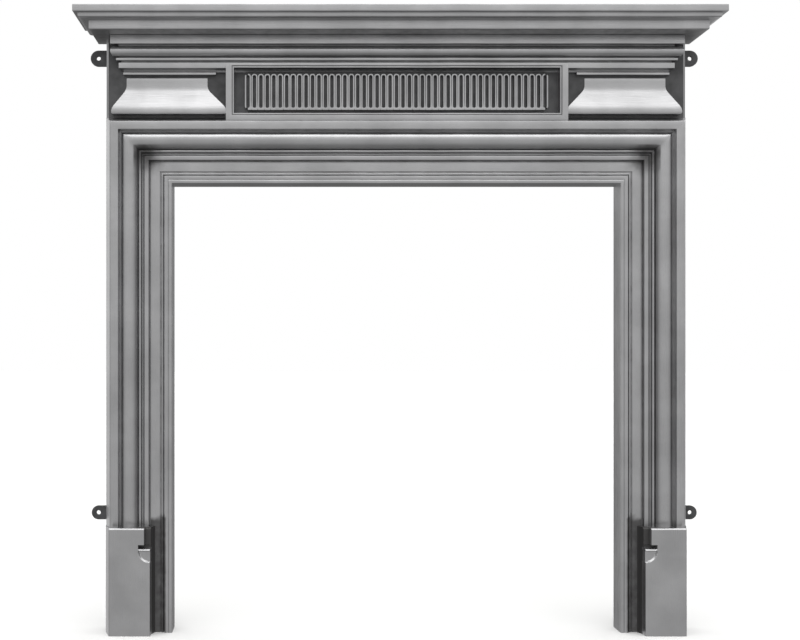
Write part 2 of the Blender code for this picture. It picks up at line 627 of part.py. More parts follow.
def casting_hollows(collection):
    """Everything that is cored out behind the front, down to an even wall."""
    wall = WALL_THICKNESS
    plate_back = PLATE_DEPTH - wall
    half = PLATE_HALF - wall
    hollows = [around_opening("architrave_hollow", architrave_hollow(), -BACK_CLEARANCE, collection)]
    plate_x = (-half, half)
    plate_depths = (-BACK_CLEARANCE, plate_back)
    plate_levels = (ARCHITRAVE_TOP + PLATE_HOLLOW_LIFT, CASTING_TOP + BACK_CLEARANCE)
    hollows.append(box("plate_hollow", plate_x, plate_depths, plate_levels, collection))
    frieze_half = END_OFFSET + TORUS_GROOVE_DEPTH - wall
    frieze_x = (-frieze_half, frieze_half)
    frieze_levels = (TORUS_BOTTOM - wall / 2, CASTING_TOP - wall)
    frieze_depths = (plate_back - wall, TORUS_GROOVE_DEPTH - wall)
    hollows.append(box("frieze_hollow", frieze_x, frieze_depths, frieze_levels, collection))
    panel_half = PANEL_WIDTH / 2 - PANEL_SIDE_BAND
    panel_levels = (ARCHITRAVE_TOP + BLOCK_LIFT, FASCIA_BOTTOM - wall)
    panel_depths = (plate_back - wall, PANEL_GROUND_DEPTH - wall)
    hollows.append(box("panel_hollow", (-panel_half, panel_half), panel_depths, panel_levels, collection))
    right_block = end_block("block_hollow_right", wall, wall, plate_back - wall, collection)
    hollows += [right_block, mirrored(right_block, "block_hollow_left", collection)]
    plinth_x = (BODY_HALF - PLINTH_WIDTH + wall, BODY_HALF - wall)
    plinth_top = STOP_LEVEL - STOP_RECESS - STOP_LEDGE - STOP_WIDTH - wall
    plinth_depths = (BACK_CLEARANCE, PLINTH_DEPTH - wall)
    plinth_levels = (-BACK_CLEARANCE, plinth_top)
    right_plinth = box("plinth_hollow_right", plinth_x, plinth_depths, plinth_levels, collection)
    hollows += [right_plinth, mirrored(right_plinth, "plinth_hollow_left", collection)]
    return hollows


def ground_plate(collection):
    """Plate behind the entablature, with a bevelled arris down each side."""
    plan = [(PLATE_HALF, 0.0), (PLATE_HALF, PLATE_DEPTH - PLATE_BEVEL_DEPTH)]
    plan.append((PLATE_HALF - PLATE_BEVEL_WIDTH, PLATE_DEPTH))
    plan += [(-x, depth) for x, depth in reversed(plan)]
    levels = (ARCHITRAVE_TOP - EMBED, CASTING_TOP)
    return loft("ground_plate", [[at(x, depth, z) for x, depth in plan] for z in levels], collection)


def front_casting(collection):
    """Frieze, end blocks, fluted panel, architrave, plinths and lugs, all one casting."""
    body = around_opening("front_casting", architrave_profile(), 0.0, collection)
    plate = ground_plate(collection)
    mouldings = returned_moulding("mouldings", entablature_line(), EMBED, collection)
    right_block = end_block("block_right", 0.0, 0.0, EMBED, collection)
    left_block = mirrored(right_block, "block_left", collection)
    panel_half = PANEL_WIDTH / 2
    panel_levels = (ARCHITRAVE_TOP + PANEL_LIFT, FASCIA_TOP - PANEL_TOP_DROP)
    panel = box("panel_frame", (-panel_half, panel_half), (EMBED, PANEL_DEPTH), panel_levels, collection)
    combine(body, [plate, mouldings, right_block, left_block, panel], "UNION")
    combine(body, [panel_recess("panel_recess", collection)], "DIFFERENCE")
    combine(body, [lattice("lattice", collection)], "UNION")

    right_plinth = plinth("plinth_right", collection)
    combine(right_plinth, stop_cutters(collection), "DIFFERENCE")
    left_plinth = mirrored(right_plinth, "plinth_left", collection)
    combine(body, [right_plinth, left_plinth], "UNION")
    combine(body, casting_hollows(collection), "DIFFERENCE")

    lugs = []
    for label, radius, level in (
        ("lower", LUG_RADIUS, LOWER_LUG_HEIGHT),
        ("upper", UPPER_LUG_RADIUS, CASTING_TOP - UPPER_LUG_DROP),
    ):
        right_lug = lug(f"lug_{label}_right", radius, level, collection)
        lugs += [right_lug, mirrored(right_lug, f"lug_{label}_left", collection)]
    combine(body, lugs, "UNION")
    tidy(body)
    return body


def shelf_line(inset):
    """Edge of the shelf as (level, overhang beyond the frieze), upwards; the inset makes its hollow."""
    fascia = SHELF_OVERHANG - inset
    ovolo_outer = SHELF_OVERHANG - SHELF_STEP - inset
    ovolo_inner = ovolo_outer - SHELF_OVOLO_WIDTH
    lower = ovolo_inner - SHELF_QUIRK
    fascia_bottom = SHELF_TOP - SHELF_FASCIA_HEIGHT
    if inset:
        return [
            (SHELF_BOTTOM + inset, lower), (fascia_bottom - SHELF_OVOLO_HEIGHT, lower),
            (fascia_bottom, ovolo_inner), (SHELF_TOP - inset, ovolo_inner + SHELF_OVOLO_WIDTH / 2),
        ]
    ovolo_bottom = fascia_bottom - SHELF_OVOLO_HEIGHT
    round_centre = (lower - SHELF_LOWER_ROUND, SHELF_BOTTOM + SHELF_LOWER_ROUND)
    rounded = arc(round_centre, (SHELF_LOWER_ROUND, SHELF_LOWER_ROUND), -90, 0, 4)
    line = [(level, overhang) for overhang, level in rounded]
    line += [(ovolo_bottom, lower), (ovolo_bottom, ovolo_inner)]
    quarter_height = SHELF_OVOLO_HEIGHT - SHELF_OVOLO_FLAT
    quarter_centre = (ovolo_inner, fascia_bottom - SHELF_OVOLO_FLAT)
    quarter = arc(quarter_centre, (SHELF_OVOLO_WIDTH, quarter_height), -90, 0)
    line += [(level, overhang) for overhang, level in quarter[1:]]
    line += [(fascia_bottom, ovolo_outer), (fascia_bottom, fascia - SHELF_ARRIS)]
    line.append((fascia_bottom + SHELF_ARRIS, fascia))
    line += [(SHELF_TOP - SHELF_ARRIS, fascia), (SHELF_TOP, fascia - SHELF_ARRIS)]
    return line


def mantel_shelf(collection):
    """Hollow moulded shelf, open at the wall and behind the lip that sits on the front casting."""
    line = [(level, FRIEZE_DEPTH + overhang) for level, overhang in shelf_line(0.0)]
    body = returned_moulding("mantel_shelf", line, 0.0, collection)
    hollow_line = [(level, FRIEZE_DEPTH + overhang) for level, overhang in shelf_line(WALL_THICKNESS)]
    hollow = returned_moulding("shelf_hollow", hollow_line, -BACK_CLEARANCE, collection)
    mouth_depth = FRIEZE_DEPTH + SHELF_OVERHANG - SHELF_STEP - SHELF_OVOLO_WIDTH - SHELF_QUIRK - SHELF_LIP
    mouth_half = END_OFFSET + mouth_depth
    mouth_levels = (SHELF_BOTTOM - BACK_CLEARANCE, SHELF_BOTTOM + 2 * WALL_THICKNESS)
    mouth_depths = (-BACK_CLEARANCE, mouth_depth)
    mouth = box("shelf_mouth", (-mouth_half, mouth_half), mouth_depths, mouth_levels, collection)
    combine(body, [hollow, mouth], "DIFFERENCE")
    tidy(body)
    return body


def main():
    """Build the two castings in a collection of their own."""
    for obj in list(bpy.data.objects):
        bpy.data.objects.remove(obj)
    collection = bpy.data.collections.new("fireplace_surround")
    bpy.context.scene.collection.children.link(collection)
    polished = iron_material("polished cast iron", (0.42, 0.42, 0.43), 0.3)
    for casting in (front_casting(collection), mantel_shelf(collection)):
        casting.data.materials.append(polished)


if __name__ == "__main__":
    main()
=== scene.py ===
import math
from types import SimpleNamespace

import bpy
import numpy as np
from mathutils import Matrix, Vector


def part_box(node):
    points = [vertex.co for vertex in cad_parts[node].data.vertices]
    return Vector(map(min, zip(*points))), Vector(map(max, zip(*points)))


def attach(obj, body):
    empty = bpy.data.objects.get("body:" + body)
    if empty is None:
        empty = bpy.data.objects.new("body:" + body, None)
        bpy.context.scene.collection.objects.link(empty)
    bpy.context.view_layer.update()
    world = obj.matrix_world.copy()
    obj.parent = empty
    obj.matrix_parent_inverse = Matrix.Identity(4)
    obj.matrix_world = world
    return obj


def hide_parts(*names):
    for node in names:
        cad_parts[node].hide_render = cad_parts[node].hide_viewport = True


bl_info = {
    "name": "Cast Iron Fireplace Surround",
    "version": (1, 0, 0),
    "blender": (4, 5, 0),
    "location": "3D View > Sidebar > Surround",
    "description": "Polished cast iron fireplace surround with a moulded shelf and a fluted frieze panel",
    "category": "Object",
}

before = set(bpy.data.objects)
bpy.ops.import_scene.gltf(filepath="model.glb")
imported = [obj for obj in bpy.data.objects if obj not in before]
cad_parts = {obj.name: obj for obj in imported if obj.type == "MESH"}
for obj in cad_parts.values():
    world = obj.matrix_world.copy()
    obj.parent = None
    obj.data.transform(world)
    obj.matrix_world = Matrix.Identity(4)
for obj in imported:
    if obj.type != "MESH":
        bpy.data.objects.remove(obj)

# Depth is counted forward from the wall plane, so a point at depth d lies at y = WALL_Y - d
WALL_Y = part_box("mantel_shelf")[1].y
CASTING_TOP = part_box("front_casting")[1].z
SHELF_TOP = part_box("mantel_shelf")[1].z
SHELF_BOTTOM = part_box("mantel_shelf")[0].z
BODY = "root"

# How finely the surfaces are divided, in metres along a run and in radians round a bend
RUN_STEP = 0.018
TURN_STEP = 0.24
LONGEST_STEP = 0.012
READING_STEP = 0.0001

# Softness of the cast and buffed corners, and the reach over which a hollow counts as one
ARRIS = 0.00045
HOLLOW_REACH = 0.0020
HOLLOW_FULL = 0.0014
SHARP_ANGLE = math.radians(38)


def linear(code):
    """Linear colour of an sRGB hex code such as #8c8d8f."""
    values = np.array([int(code[i:i + 2], 16) for i in (1, 3, 5)]) / 255
    return tuple(np.where(values <= 0.04045, values / 12.92, ((values + 0.055) / 1.055) ** 2.4).tolist())


def length(name, default, description):
    """A size in metres, shown in the scene's own unit."""
    return bpy.props.FloatProperty(
        name=name, description=description, default=default, min=0.0, unit="LENGTH", precision=5)


def share(name, default, description):
    """A plain number from 0 to 1."""
    return bpy.props.FloatProperty(name=name, description=description, default=default, min=0.0, max=1.0)


def colour(name, code, description):
    """A surface colour given as an sRGB hex code."""
    return bpy.props.FloatVectorProperty(
        name=name, description=description, default=linear(code), size=3, min=0.0, max=1.0, subtype="COLOR")


class ArchitraveSizes(bpy.types.PropertyGroup):
    """Members of the architrave, in order from the outer arris to the opening."""
    opening_width: length("Opening width", 0.965, "Clear width between the legs")
    opening_height: length("Opening height", 0.967, "Clear height under the lintel")
    wall: length("Wall", 0.006, "Thickness of the iron")
    splay: length("Splay", 0.0125, "How far the outer side spreads towards the ground plate")
    plate_depth: length("Plate depth", 0.044, "Depth of the ground plate's face")
    rail_width: length("Rail width", 0.0177, "Flat outer rail")
    rail_depth: length("Rail depth", 0.075, "Face of the outer rail, forward of the wall")
    rail_bevel: length("Rail bevel", 0.0010, "Bevel on the rail's outer arris")
    cove_width: length("Cove width", 0.0070, "Hollow between the rail and the roll")
    cove_depth: length("Cove depth", 0.061, "Bottom of that hollow, forward of the wall")
    roll_width: length("Roll width", 0.0325, "Large roll that falls towards the beads")
    roll_depth: length("Roll depth", 0.073, "Crown of the roll, forward of the wall")
    bead_width: length("Bead width", 0.0060, "First bead after the roll")
    small_bead_width: length("Small bead width", 0.0030, "Second bead")
    strip_width: length("Strip width", 0.0098, "Flat strip beside the band")
    band_width: length("Band width", 0.0205, "Flat band")
    band_depth: length("Band depth", 0.0475, "Face of the flat band, forward of the wall")
    inner_bead_width: length("Inner bead width", 0.0040, "Bead between the band and the fillets")
    fillet_width: length("Fillet width", 0.0068, "Each of the two fillets beside the opening")
    fillet_depth: length("Fillet depth", 0.0540, "Face of the fillets, forward of the wall")


class EntablatureSizes(bpy.types.PropertyGroup):
    """Mouldings, end blocks and frieze above the architrave."""
    block_lift: length("Block lift", 0.0176, "Gap from the architrave's top to the end blocks")
    block_height: length("Block height", 0.0799, "Height of the bell of an end block")
    neck_depth: length("Neck depth", 0.0460, "Face of the block's neck, forward of the wall")
    front_flare: length("Front flare", 0.0150, "How far the bell spreads forward")
    outer_flare: length("Outer flare", 0.0314, "How far the bell spreads outward")
    inner_flare: length("Inner flare", 0.0420, "How far the bell spreads towards the panel")
    neck_fillet_proud: length("Neck fillet", 0.0065, "How far the fillet above the neck stands out")
    neck_fillet_inner: length("Neck fillet inside", 0.0185, "How far that fillet runs on towards the panel")
    fascia_height: length("Fascia height", 0.0118, "Flat member over the panel")
    fascia_depth: length("Fascia depth", 0.0610, "Its face, forward of the wall")
    upper_fillet_depth: length("Upper fillet depth", 0.0660, "Thin fillet under the torus")
    torus_radius: length("Torus radius", 0.0110, "Half-round member under the frieze band")
    frieze_depth: length("Frieze depth", 0.0770, "Face of the top band, forward of the wall")
    frieze_inset: length("Frieze inset", 0.0010, "How far the top band's end stays inside the rail's arris")


class PanelSizes(bpy.types.PropertyGroup):
    """The fluted panel."""
    width: length("Width", 0.732, "Outside width of the frame")
    depth: length("Depth", 0.0700, "Face of the frame, forward of the wall")
    side_band: length("Side band", 0.0130, "Flat of the frame at the sides")
    top_band: length("Top band", 0.0055, "Flat of the frame at the top")
    bottom_band: length("Bottom band", 0.0113, "Flat of the frame at the bottom")
    ground_depth: length("Ground depth", 0.0500, "Sunk ground, forward of the wall")
    slots: bpy.props.IntProperty(name="Slots", description="Number of flutes", default=47, min=1)
    slot_pitch: length("Slot pitch", 0.01387, "Distance from flute to flute")
    slot_width: length("Slot width", 0.0069, "Width of a flute")
    slot_height: length("Slot height", 0.0700, "Height of a flute")
    rim: length("Rim", 0.0032, "Width of the scalloped rim over the flutes")
    foot_rim: length("Foot rim", 0.0048, "Height of the straight rim under the flutes")
    end_bar: length("End bar", 0.0035, "Width of the thin bar beyond the first and last flute")
    relief: length("Relief", 0.0080, "How far the bars stand off the ground")


class ShelfSizes(bpy.types.PropertyGroup):
    """The mantel shelf."""
    overhang: length("Overhang", 0.0675, "How far the shelf stands beyond the frieze")
    fascia_height: length("Fascia height", 0.0146, "Upper flat edge")
    step: length("Step", 0.0095, "Setback under the upper edge")
    ovolo_width: length("Ovolo width", 0.0140, "Depth of the quarter round")
    ovolo_height: length("Ovolo height", 0.0110, "Height of the quarter round")
    ovolo_flat: length("Ovolo flat", 0.0072, "Upright part at its top")
    # Painted shade laid on the shelf's underside
    underside_shade: share("Underside residue", 0.42, "Blacking left on the underside")
    quirk: length("Quirk", 0.0055, "Setback from the quarter round to the lower edge")
    lower_round: length("Lower round", 0.0020, "Rounding under the lower edge")
    lip: length("Lip", 0.0500, "Flat underneath that sits on the casting")


class PlinthSizes(bpy.types.PropertyGroup):
    """The plinth blocks with their carved stops."""
    height: length("Height", 0.2294, "Height of a plinth block")
    width: length("Width", 0.0867, "Width of its face")
    depth: length("Depth", 0.084, "Its face, forward of the wall")
    bevel: length("Bevel", 0.0030, "Bevel along its outer and top arrises")
    hollow_width: length("Hollow width", 0.0100, "Hollow on its inner side")
    stop_width: length("Stop width", 0.0240, "Width of the carved stop")
    stop_step: length("Stop step", 0.0115, "Width of the step that runs up from the stop")
    stop_level: length("Stop level", 0.1937, "Height of the foot of that step")
    stop_recess: length("Stop recess", 0.0060, "Height of the dark recess under the step")
    stop_ledge: length("Stop ledge", 0.0060, "Height of the sloping ledge under the recess")
    stop_sink: length("Stop sink", 0.0120, "How deep the step and the recess go")
    stop_disc_sink: length("Disc sink", 0.0035, "How deep the quarter disc goes")


class LugSizes(bpy.types.PropertyGroup):
    """The wall lugs."""
    thickness: length("Thickness", 0.0060, "Thickness of a lug")
    reach: length("Reach", 0.0230, "From the casting's edge to the screw hole")
    lower_radius: length("Lower radius", 0.0152, "Round end of the lower lugs")
    upper_radius: length("Upper radius", 0.0175, "Round end of the upper lugs")
    hole_radius: length("Hole radius", 0.0046, "Screw hole")
    lower_height: length("Lower height", 0.2520, "Height of the lower screw holes")
    upper_drop: length("Upper drop", 0.0324, "From the casting's top down to the upper screw holes")


class FinishValues(bpy.types.PropertyGroup):
    """Colours and sheen of the iron, and how uneven the casting is."""
    bright: colour("Bright iron", "#c3c3c4", "Iron that the buffing wheel reached")
    # One dark colour for old blacking in the hollows and for the painted shade laid in the same hollows and under the
    # shelf
    blacking_and_shade_colour: colour("Residue", "#4f4e4e", "Old blacking left in the hollows")
    cast_skin: colour("Cast skin", "#6a6a6b", "Iron as it left the sand")
    sheen: share("Sheen", 0.30, "Roughness of the buffed iron")
    skin_roughness: share("Skin roughness", 0.55, "Roughness of the cast skin")
    unevenness: length("Unevenness", 0.00035, "How far the casting's faces wander")


class StudioValues(bpy.types.PropertyGroup):
    """Floor, light and camera."""
    floor: colour("Floor", "#f2f2f1", "Pale floor")
    front_light: bpy.props.FloatProperty(name="Front light", description="Brightness in front", default=0.56)
    top_light: bpy.props.FloatProperty(name="Top light", description="Brightness overhead", default=2.1)
    rear_top_light: bpy.props.FloatProperty(name="Rear top light", description="Overhead, behind", default=0.7)
    side_light: bpy.props.FloatProperty(name="Side light", description="Brightness at the sides", default=0.2)
    back_light: bpy.props.FloatProperty(name="Back light", description="Brightness behind each side", default=0.8)
    middle_light: bpy.props.FloatProperty(name="Middle light", description="Brightness straight behind", default=0.18)
    low_light: bpy.props.FloatProperty(name="Low light", description="Brightness from below", default=0.24)
    distance: length("Distance", 2.439, "From the lens to the wall plane")
    eye_height: length("Eye height", 0.6063, "Height of the lens")
    eye_side: bpy.props.FloatProperty(
        name="Eye side", description="Place of the lens across the front", default=-0.2277, unit="LENGTH")


GROUPS = {
    "surround_architrave": ArchitraveSizes,
    "surround_entablature": EntablatureSizes,
    "surround_panel": PanelSizes,
    "surround_shelf": ShelfSizes,
    "surround_plinth": PlinthSizes,
    "surround_lug": LugSizes,
    "surround_finish": FinishValues,
    "surround_studio": StudioValues,
}

# Narrow members that are the same for every size of surround, in metres
RAIL_SIDE = 0.0009
QUIRK_WIDTH = 0.0014
QUIRK_FALL = 0.0020
ROLL_FOOT_DEPTH = 0.0660
BEAD_DEPTH = 0.061
SMALL_BEAD_DEPTH = 0.0572
STRIP_DEPTH = 0.0575
STRIP_BEVEL = 0.0008
STRIP_FALL = 0.0043
BAND_GROOVE_WIDTH = 0.0026
BAND_GROOVE_DEPTH = 0.0445
INNER_GROOVE_WIDTH = 0.0035
INNER_BEAD_DEPTH = 0.0490
FILLET_GROOVE_WIDTH = 0.0030
FILLET_QUIRK_WIDTH = 0.0024
FILLET_QUIRK_FALL = 0.0012
ARRIS_BEVEL = 0.0010
NECK_HEIGHT = 0.0171
NOSE_HEIGHT = 0.0043
NECK_GROOVE_HEIGHT = 0.0055
NECK_GROOVE_SINK = 0.0040
NECK_BAND_PROUD = 0.0020
NECK_FILLET_HEIGHT = 0.0056
SCOTIA_HEIGHT = 0.0068
SCOTIA_DEPTH = 0.0500
FASCIA_GROOVE_HEIGHT = 0.0038
FASCIA_GROOVE_DEPTH = 0.0560
UPPER_FILLET_HEIGHT = 0.0051
TORUS_GROOVE_HEIGHT = 0.0022
TORUS_GROOVE_DEPTH = 0.0610
FRIEZE_GROOVE_HEIGHT = 0.0034
PANEL_LIFT = 0.0020
PANEL_TOP_DROP = 0.0030
PANEL_QUIRK = 0.0012
PANEL_QUIRK_FALL = 0.0030
PANEL_BEAD = 0.0030
PANEL_BEAD_DEPTH = 0.0690
PLATE_OVERLAP = 0.020
PLATE_BEVEL_WIDTH = 0.0050
PLATE_BEVEL_DEPTH = 0.0025
FLUSH_GAP = 0.0003
BELL_EASE = 0.25
BLOCK_BURY = 0.0012
PLINTH_PROUD = 0.0010
BAR_ROUNDING = 0.0007
BAR_SINK = 0.0015
BAR_FADE = 0.30

# Where residue and unbuffed skin lie beyond the hollows, in metres from the arris or the hearth
CORNER_START = 0.048
CORNER_MEMBER = 0.070
CORNER_REACH = 0.048
RAW_BAND = (0.0840, 0.1185)
RAW_TOP = 0.253
SMUDGE_MEMBERS = (0.004, 0.080)
SMUDGE_LEVEL = 0.235
SMUDGE_REACH = 0.012

# Camera of the view in pixels of an 800 by 640 picture: focal length and the lens's own centre
PHOTO_WIDTH = 800
PHOTO_HEIGHT = 640
FOCAL_PIXELS = 1109
CENTRE_X = 290.5
CENTRE_Y = 351
SENSOR_WIDTH = 36.0


def derive(scene):
    """Levels and half widths that follow from the sizes."""
    a = scene.surround_architrave
    e = scene.surround_entablature
    members = a.rail_width + RAIL_SIDE + a.cove_width + a.roll_width + a.bead_width + a.small_bead_width
    members += a.strip_width + BAND_GROOVE_WIDTH + a.band_width + INNER_GROOVE_WIDTH + a.inner_bead_width
    members += FILLET_GROOVE_WIDTH + 2 * a.fillet_width + FILLET_QUIRK_WIDTH + 3 * QUIRK_WIDTH
    d = SimpleNamespace(width=members)
    d.half = a.opening_width / 2 + members
    d.plate_half = d.half + a.splay
    d.top = a.opening_height + members
    d.block_bottom = d.top + e.block_lift
    d.block_top = d.block_bottom + e.block_height
    d.neck_fillet = d.block_top + NECK_GROOVE_HEIGHT
    d.scotia = d.neck_fillet + NECK_FILLET_HEIGHT
    d.fascia = d.scotia + SCOTIA_HEIGHT
    d.fascia_top = d.fascia + e.fascia_height
    d.fillet = d.fascia_top + FASCIA_GROOVE_HEIGHT
    d.fillet_top = d.fillet + UPPER_FILLET_HEIGHT
    d.torus = d.fillet_top + TORUS_GROOVE_HEIGHT
    d.torus_top = d.torus + 2 * e.torus_radius
    d.frieze = d.torus_top + FRIEZE_GROOVE_HEIGHT
    d.end_offset = d.half - e.frieze_inset - e.frieze_depth
    return d


def arc(centre, radii, start, end, steps=14):
    """Ellipse arc: centre plus radii times the cosine and sine of evenly spaced angles in degrees."""
    angle = np.radians(np.linspace(start, end, steps + 1))
    return np.column_stack([centre[0] + radii[0] * np.cos(angle), centre[1] + radii[1] * np.sin(angle)])


def bead(start, width, foot, crown):
    """Half ellipse over a member's width, from its foot depth up to its crown and down again."""
    return arc((start + width / 2, foot), (width / 2, crown - foot), 180, 0)


def blurred(values, reach, step):
    """Closed outline averaged under a bell curve: its spectrum times exp(-2 (pi reach f) squared)."""
    frequency = np.fft.fftfreq(len(values), d=step)
    return np.fft.ifft(np.fft.fft(values) * np.exp(-2 * (math.pi * reach * frequency) ** 2))


def softened(corners, arris=ARRIS, turn=TURN_STEP, longest=LONGEST_STEP):
    """Closed outline with its corners eased as casting and buffing ease them.

    The outline is read at even steps of its length and blurred by the arris softness. Points are
    then spread so that each covers the same share of turning plus length. Returned with it are the
    distance along it and its hollow: how far the outline blurred much wider lies outside it.
    """
    corners = np.asarray(corners, float)
    turned = np.roll(corners, -1, axis=0)
    area = np.sum(corners[:, 0] * turned[:, 1] - turned[:, 0] * corners[:, 1])
    if area < 0:
        corners = corners[::-1]
    closed = np.vstack([corners, corners[:1]])
    travelled = np.concatenate([[0], np.cumsum(np.hypot(*np.diff(closed, axis=0).T))])
    count = int(travelled[-1] / READING_STEP)
    step = travelled[-1] / count
    places = np.arange(count) * step
    line = np.interp(places, travelled, closed[:, 0]) + 1j * np.interp(places, travelled, closed[:, 1])
    soft = blurred(line, arris, step)
    wide = blurred(line, HOLLOW_REACH, step)
    tangent = np.roll(soft, -1) - np.roll(soft, 1)
    tangent /= np.abs(tangent)
    # This hollow becomes the mask for blacking and painted shade in the buffed iron
    hollow = np.real(np.conj(-1j * tangent) * (wide - soft))
    bend = np.abs(np.angle(np.roll(tangent, -1) / tangent))
    effort = np.concatenate([[0], np.cumsum(bend / turn + step / longest)])
    wanted = np.arange(math.ceil(effort[-1])) * effort[-1] / math.ceil(effort[-1])
    spots = np.interp(wanted, effort, np.append(places, travelled[-1]))
    read = [np.interp(spots, places, part, period=travelled[-1]) for part in (soft.real, soft.imag, hollow)]
    return SimpleNamespace(a=read[0], b=read[1], hollow=np.clip(read[2] / HOLLOW_FULL, 0, 1), along=spots,
                           whole=travelled[-1])


def place(x, depth, z):
    """Points in the frame from places across, forward of the wall and up."""
    x, depth, z = np.broadcast_arrays(x, depth, z)
    return np.stack([x, WALL_Y - depth, z], axis=-1)


def uneven(points, amount):
    """The casting's slow wander: three sine fields of 0.11 to 0.31 m wavelength push faces inward."""
    x, y, z = np.moveaxis(points, -1, 0)
    forward = np.clip((WALL_Y - y - 0.03) / 0.02, 0, 1)
    field = np.sin(x * 29.1 + z * 9.3 + 0.7) + np.sin(z * 41.7 - x * 7.9 + 2.1) + np.sin((x + z) * 57.3 + 4.4)
    drift = np.sin(x * 23.7 + 1.3) + np.sin(x * 51.9 + 3.7) + np.sin(x * 37.1 + z * 11 + 5.2)
    moved = points.copy()
    moved[..., 1] += forward * amount * (3 + field) / 6
    moved[..., 2] -= forward * amount * (3 + drift) / 6 * np.clip(z / 0.2, 0, 1)
    return moved


def stations(side, front, step=RUN_STEP):
    """Rows of a moulding that runs up one side, along the front and down the other side.

    Lateral goes from -1 to 1 along the front, and progress from 0 to 1 up each side, so the rows
    where both are at their ends are the mitres.
    """
    rise = np.linspace(0, 1, max(2, math.ceil(side / step) + 1))
    cross = np.linspace(-1, 1, max(2, math.ceil(front / step) + 1))
    lateral = np.concatenate([-np.ones(len(rise)), cross[1:-1], np.ones(len(rise))])
    progress = np.concatenate([rise, np.ones(len(cross) - 2), rise[::-1]])
    spans = np.concatenate([np.zeros(len(rise) - 1), np.ones(len(cross) - 1), np.full(len(rise) - 1, 2)])
    return lateral[:, None], progress[:, None], spans.astype(int)


def build(name, points, loop, hollow, axes, material, node, ring=False):
    """Closed surface over a grid: rows along the run, columns round the closed outline.

    The UV map holds the place along the run and the distance round the outline, both in metres.
    A ring's last row meets its first, and any other piece is capped at both ends.
    """
    rows, columns = points.shape[:2]
    index = np.arange(rows * columns).reshape(rows, columns)
    r = np.arange(rows if ring else rows - 1)[:, None]
    c = np.arange(columns)[None, :]
    corner_rows = [r, r, (r + 1) % rows, (r + 1) % rows]
    corner_columns = [c, (c + 1) % columns, (c + 1) % columns, c]
    quads = np.stack(np.broadcast_arrays(*[index[i, j] for i, j in zip(corner_rows, corner_columns)]), axis=-1)
    quads = quads.reshape(-1, 4)
    flat = points.reshape(-1, 3)
    axes = np.broadcast_to(axes, len(r))
    run = flat[quads, np.repeat(axes, columns)[:, None]]
    across = np.append(loop.along, loop.whole)
    v = np.stack(np.broadcast_arrays(*[across[j] + 0 * r for j in (c, c + 1, c + 1, c)]), axis=-1).reshape(-1, 4)
    arm = flat - flat.mean(axis=0)
    volume = np.einsum("ij,ij->", np.cross(arm[quads[:, 0]], arm[quads[:, 1]]), arm[quads[:, 2]])
    volume += np.einsum("ij,ij->", np.cross(arm[quads[:, 0]], arm[quads[:, 2]]), arm[quads[:, 3]])
    inverted = volume < 0
    if inverted:
        quads, run, v = quads[:, ::-1], run[:, ::-1], v[:, ::-1]
    faces = quads.tolist()
    uv = np.stack([run, v], axis=-1).reshape(-1, 2)
    if not ring:
        caps = [index[0], index[-1][::-1]]
        faces += [(cap if not inverted else cap[::-1]).tolist() for cap in caps]
        uv = np.vstack([uv, np.zeros((2 * columns, 2))])
    return finish_piece(name, flat, faces, uv, np.broadcast_to(hollow, points.shape[:2]).ravel(), material, node)


def finish_piece(name, vertices, faces, uv, hollow, material, node):
    """Make the mesh and its object, and fix it to the frame."""
    mesh = bpy.data.meshes.new(name)
    mesh.from_pydata(vertices.tolist(), [], faces)
    layer = mesh.uv_layers.new(name="run")
    layer.data.foreach_set("uv", uv.ravel())
    # The hollow attribute is the mask of blacking and painted shade: recesses, undersides and cut stops are drawn
    # darker by the buffed iron
    attribute = mesh.attributes.new("hollow", "FLOAT", "POINT")
    attribute.data.foreach_set("value", np.asarray(hollow, float))
    mesh.validate()
    mesh.shade_smooth()
    mesh.set_sharp_from_angle(angle=SHARP_ANGLE)
    mesh.materials.append(material)
    piece = bpy.data.objects.new(name, mesh)
    bpy.context.scene.collection.objects.link(piece)
    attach(piece, BODY)
    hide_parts(node)
    return piece


def returned(name, line, back, lateral_x, scene, material, node, step=RUN_STEP, arris=ARRIS, shade_and_blacking=None):
    """Closed (level, depth) outline carried along the left return, the front and the right return.

    Lateral_x gives, for each level and depth, how far out the return lies on either side. The
    shade_and_blacking function gives the painted shade and blacking at a level and a depth, given the hollow there.
    """
    loop = softened(line, arris)
    level, depth = loop.a[None, :], loop.b[None, :]
    if shade_and_blacking:
        loop.hollow = shade_and_blacking(loop.a, loop.b, loop.hollow)
    low, high = lateral_x(level, depth)
    lateral, progress, spans = stations(float(depth.max() - back), float((high - low).max()), step)
    x = (low + high) / 2 + lateral * (high - low) / 2
    run_depth = back + progress * (depth - back)
    points = uneven(place(x, run_depth, level), scene.surround_finish.unevenness)
    return build(name, points, loop, loop.hollow, np.array([1, 0, 1])[spans], material, node)


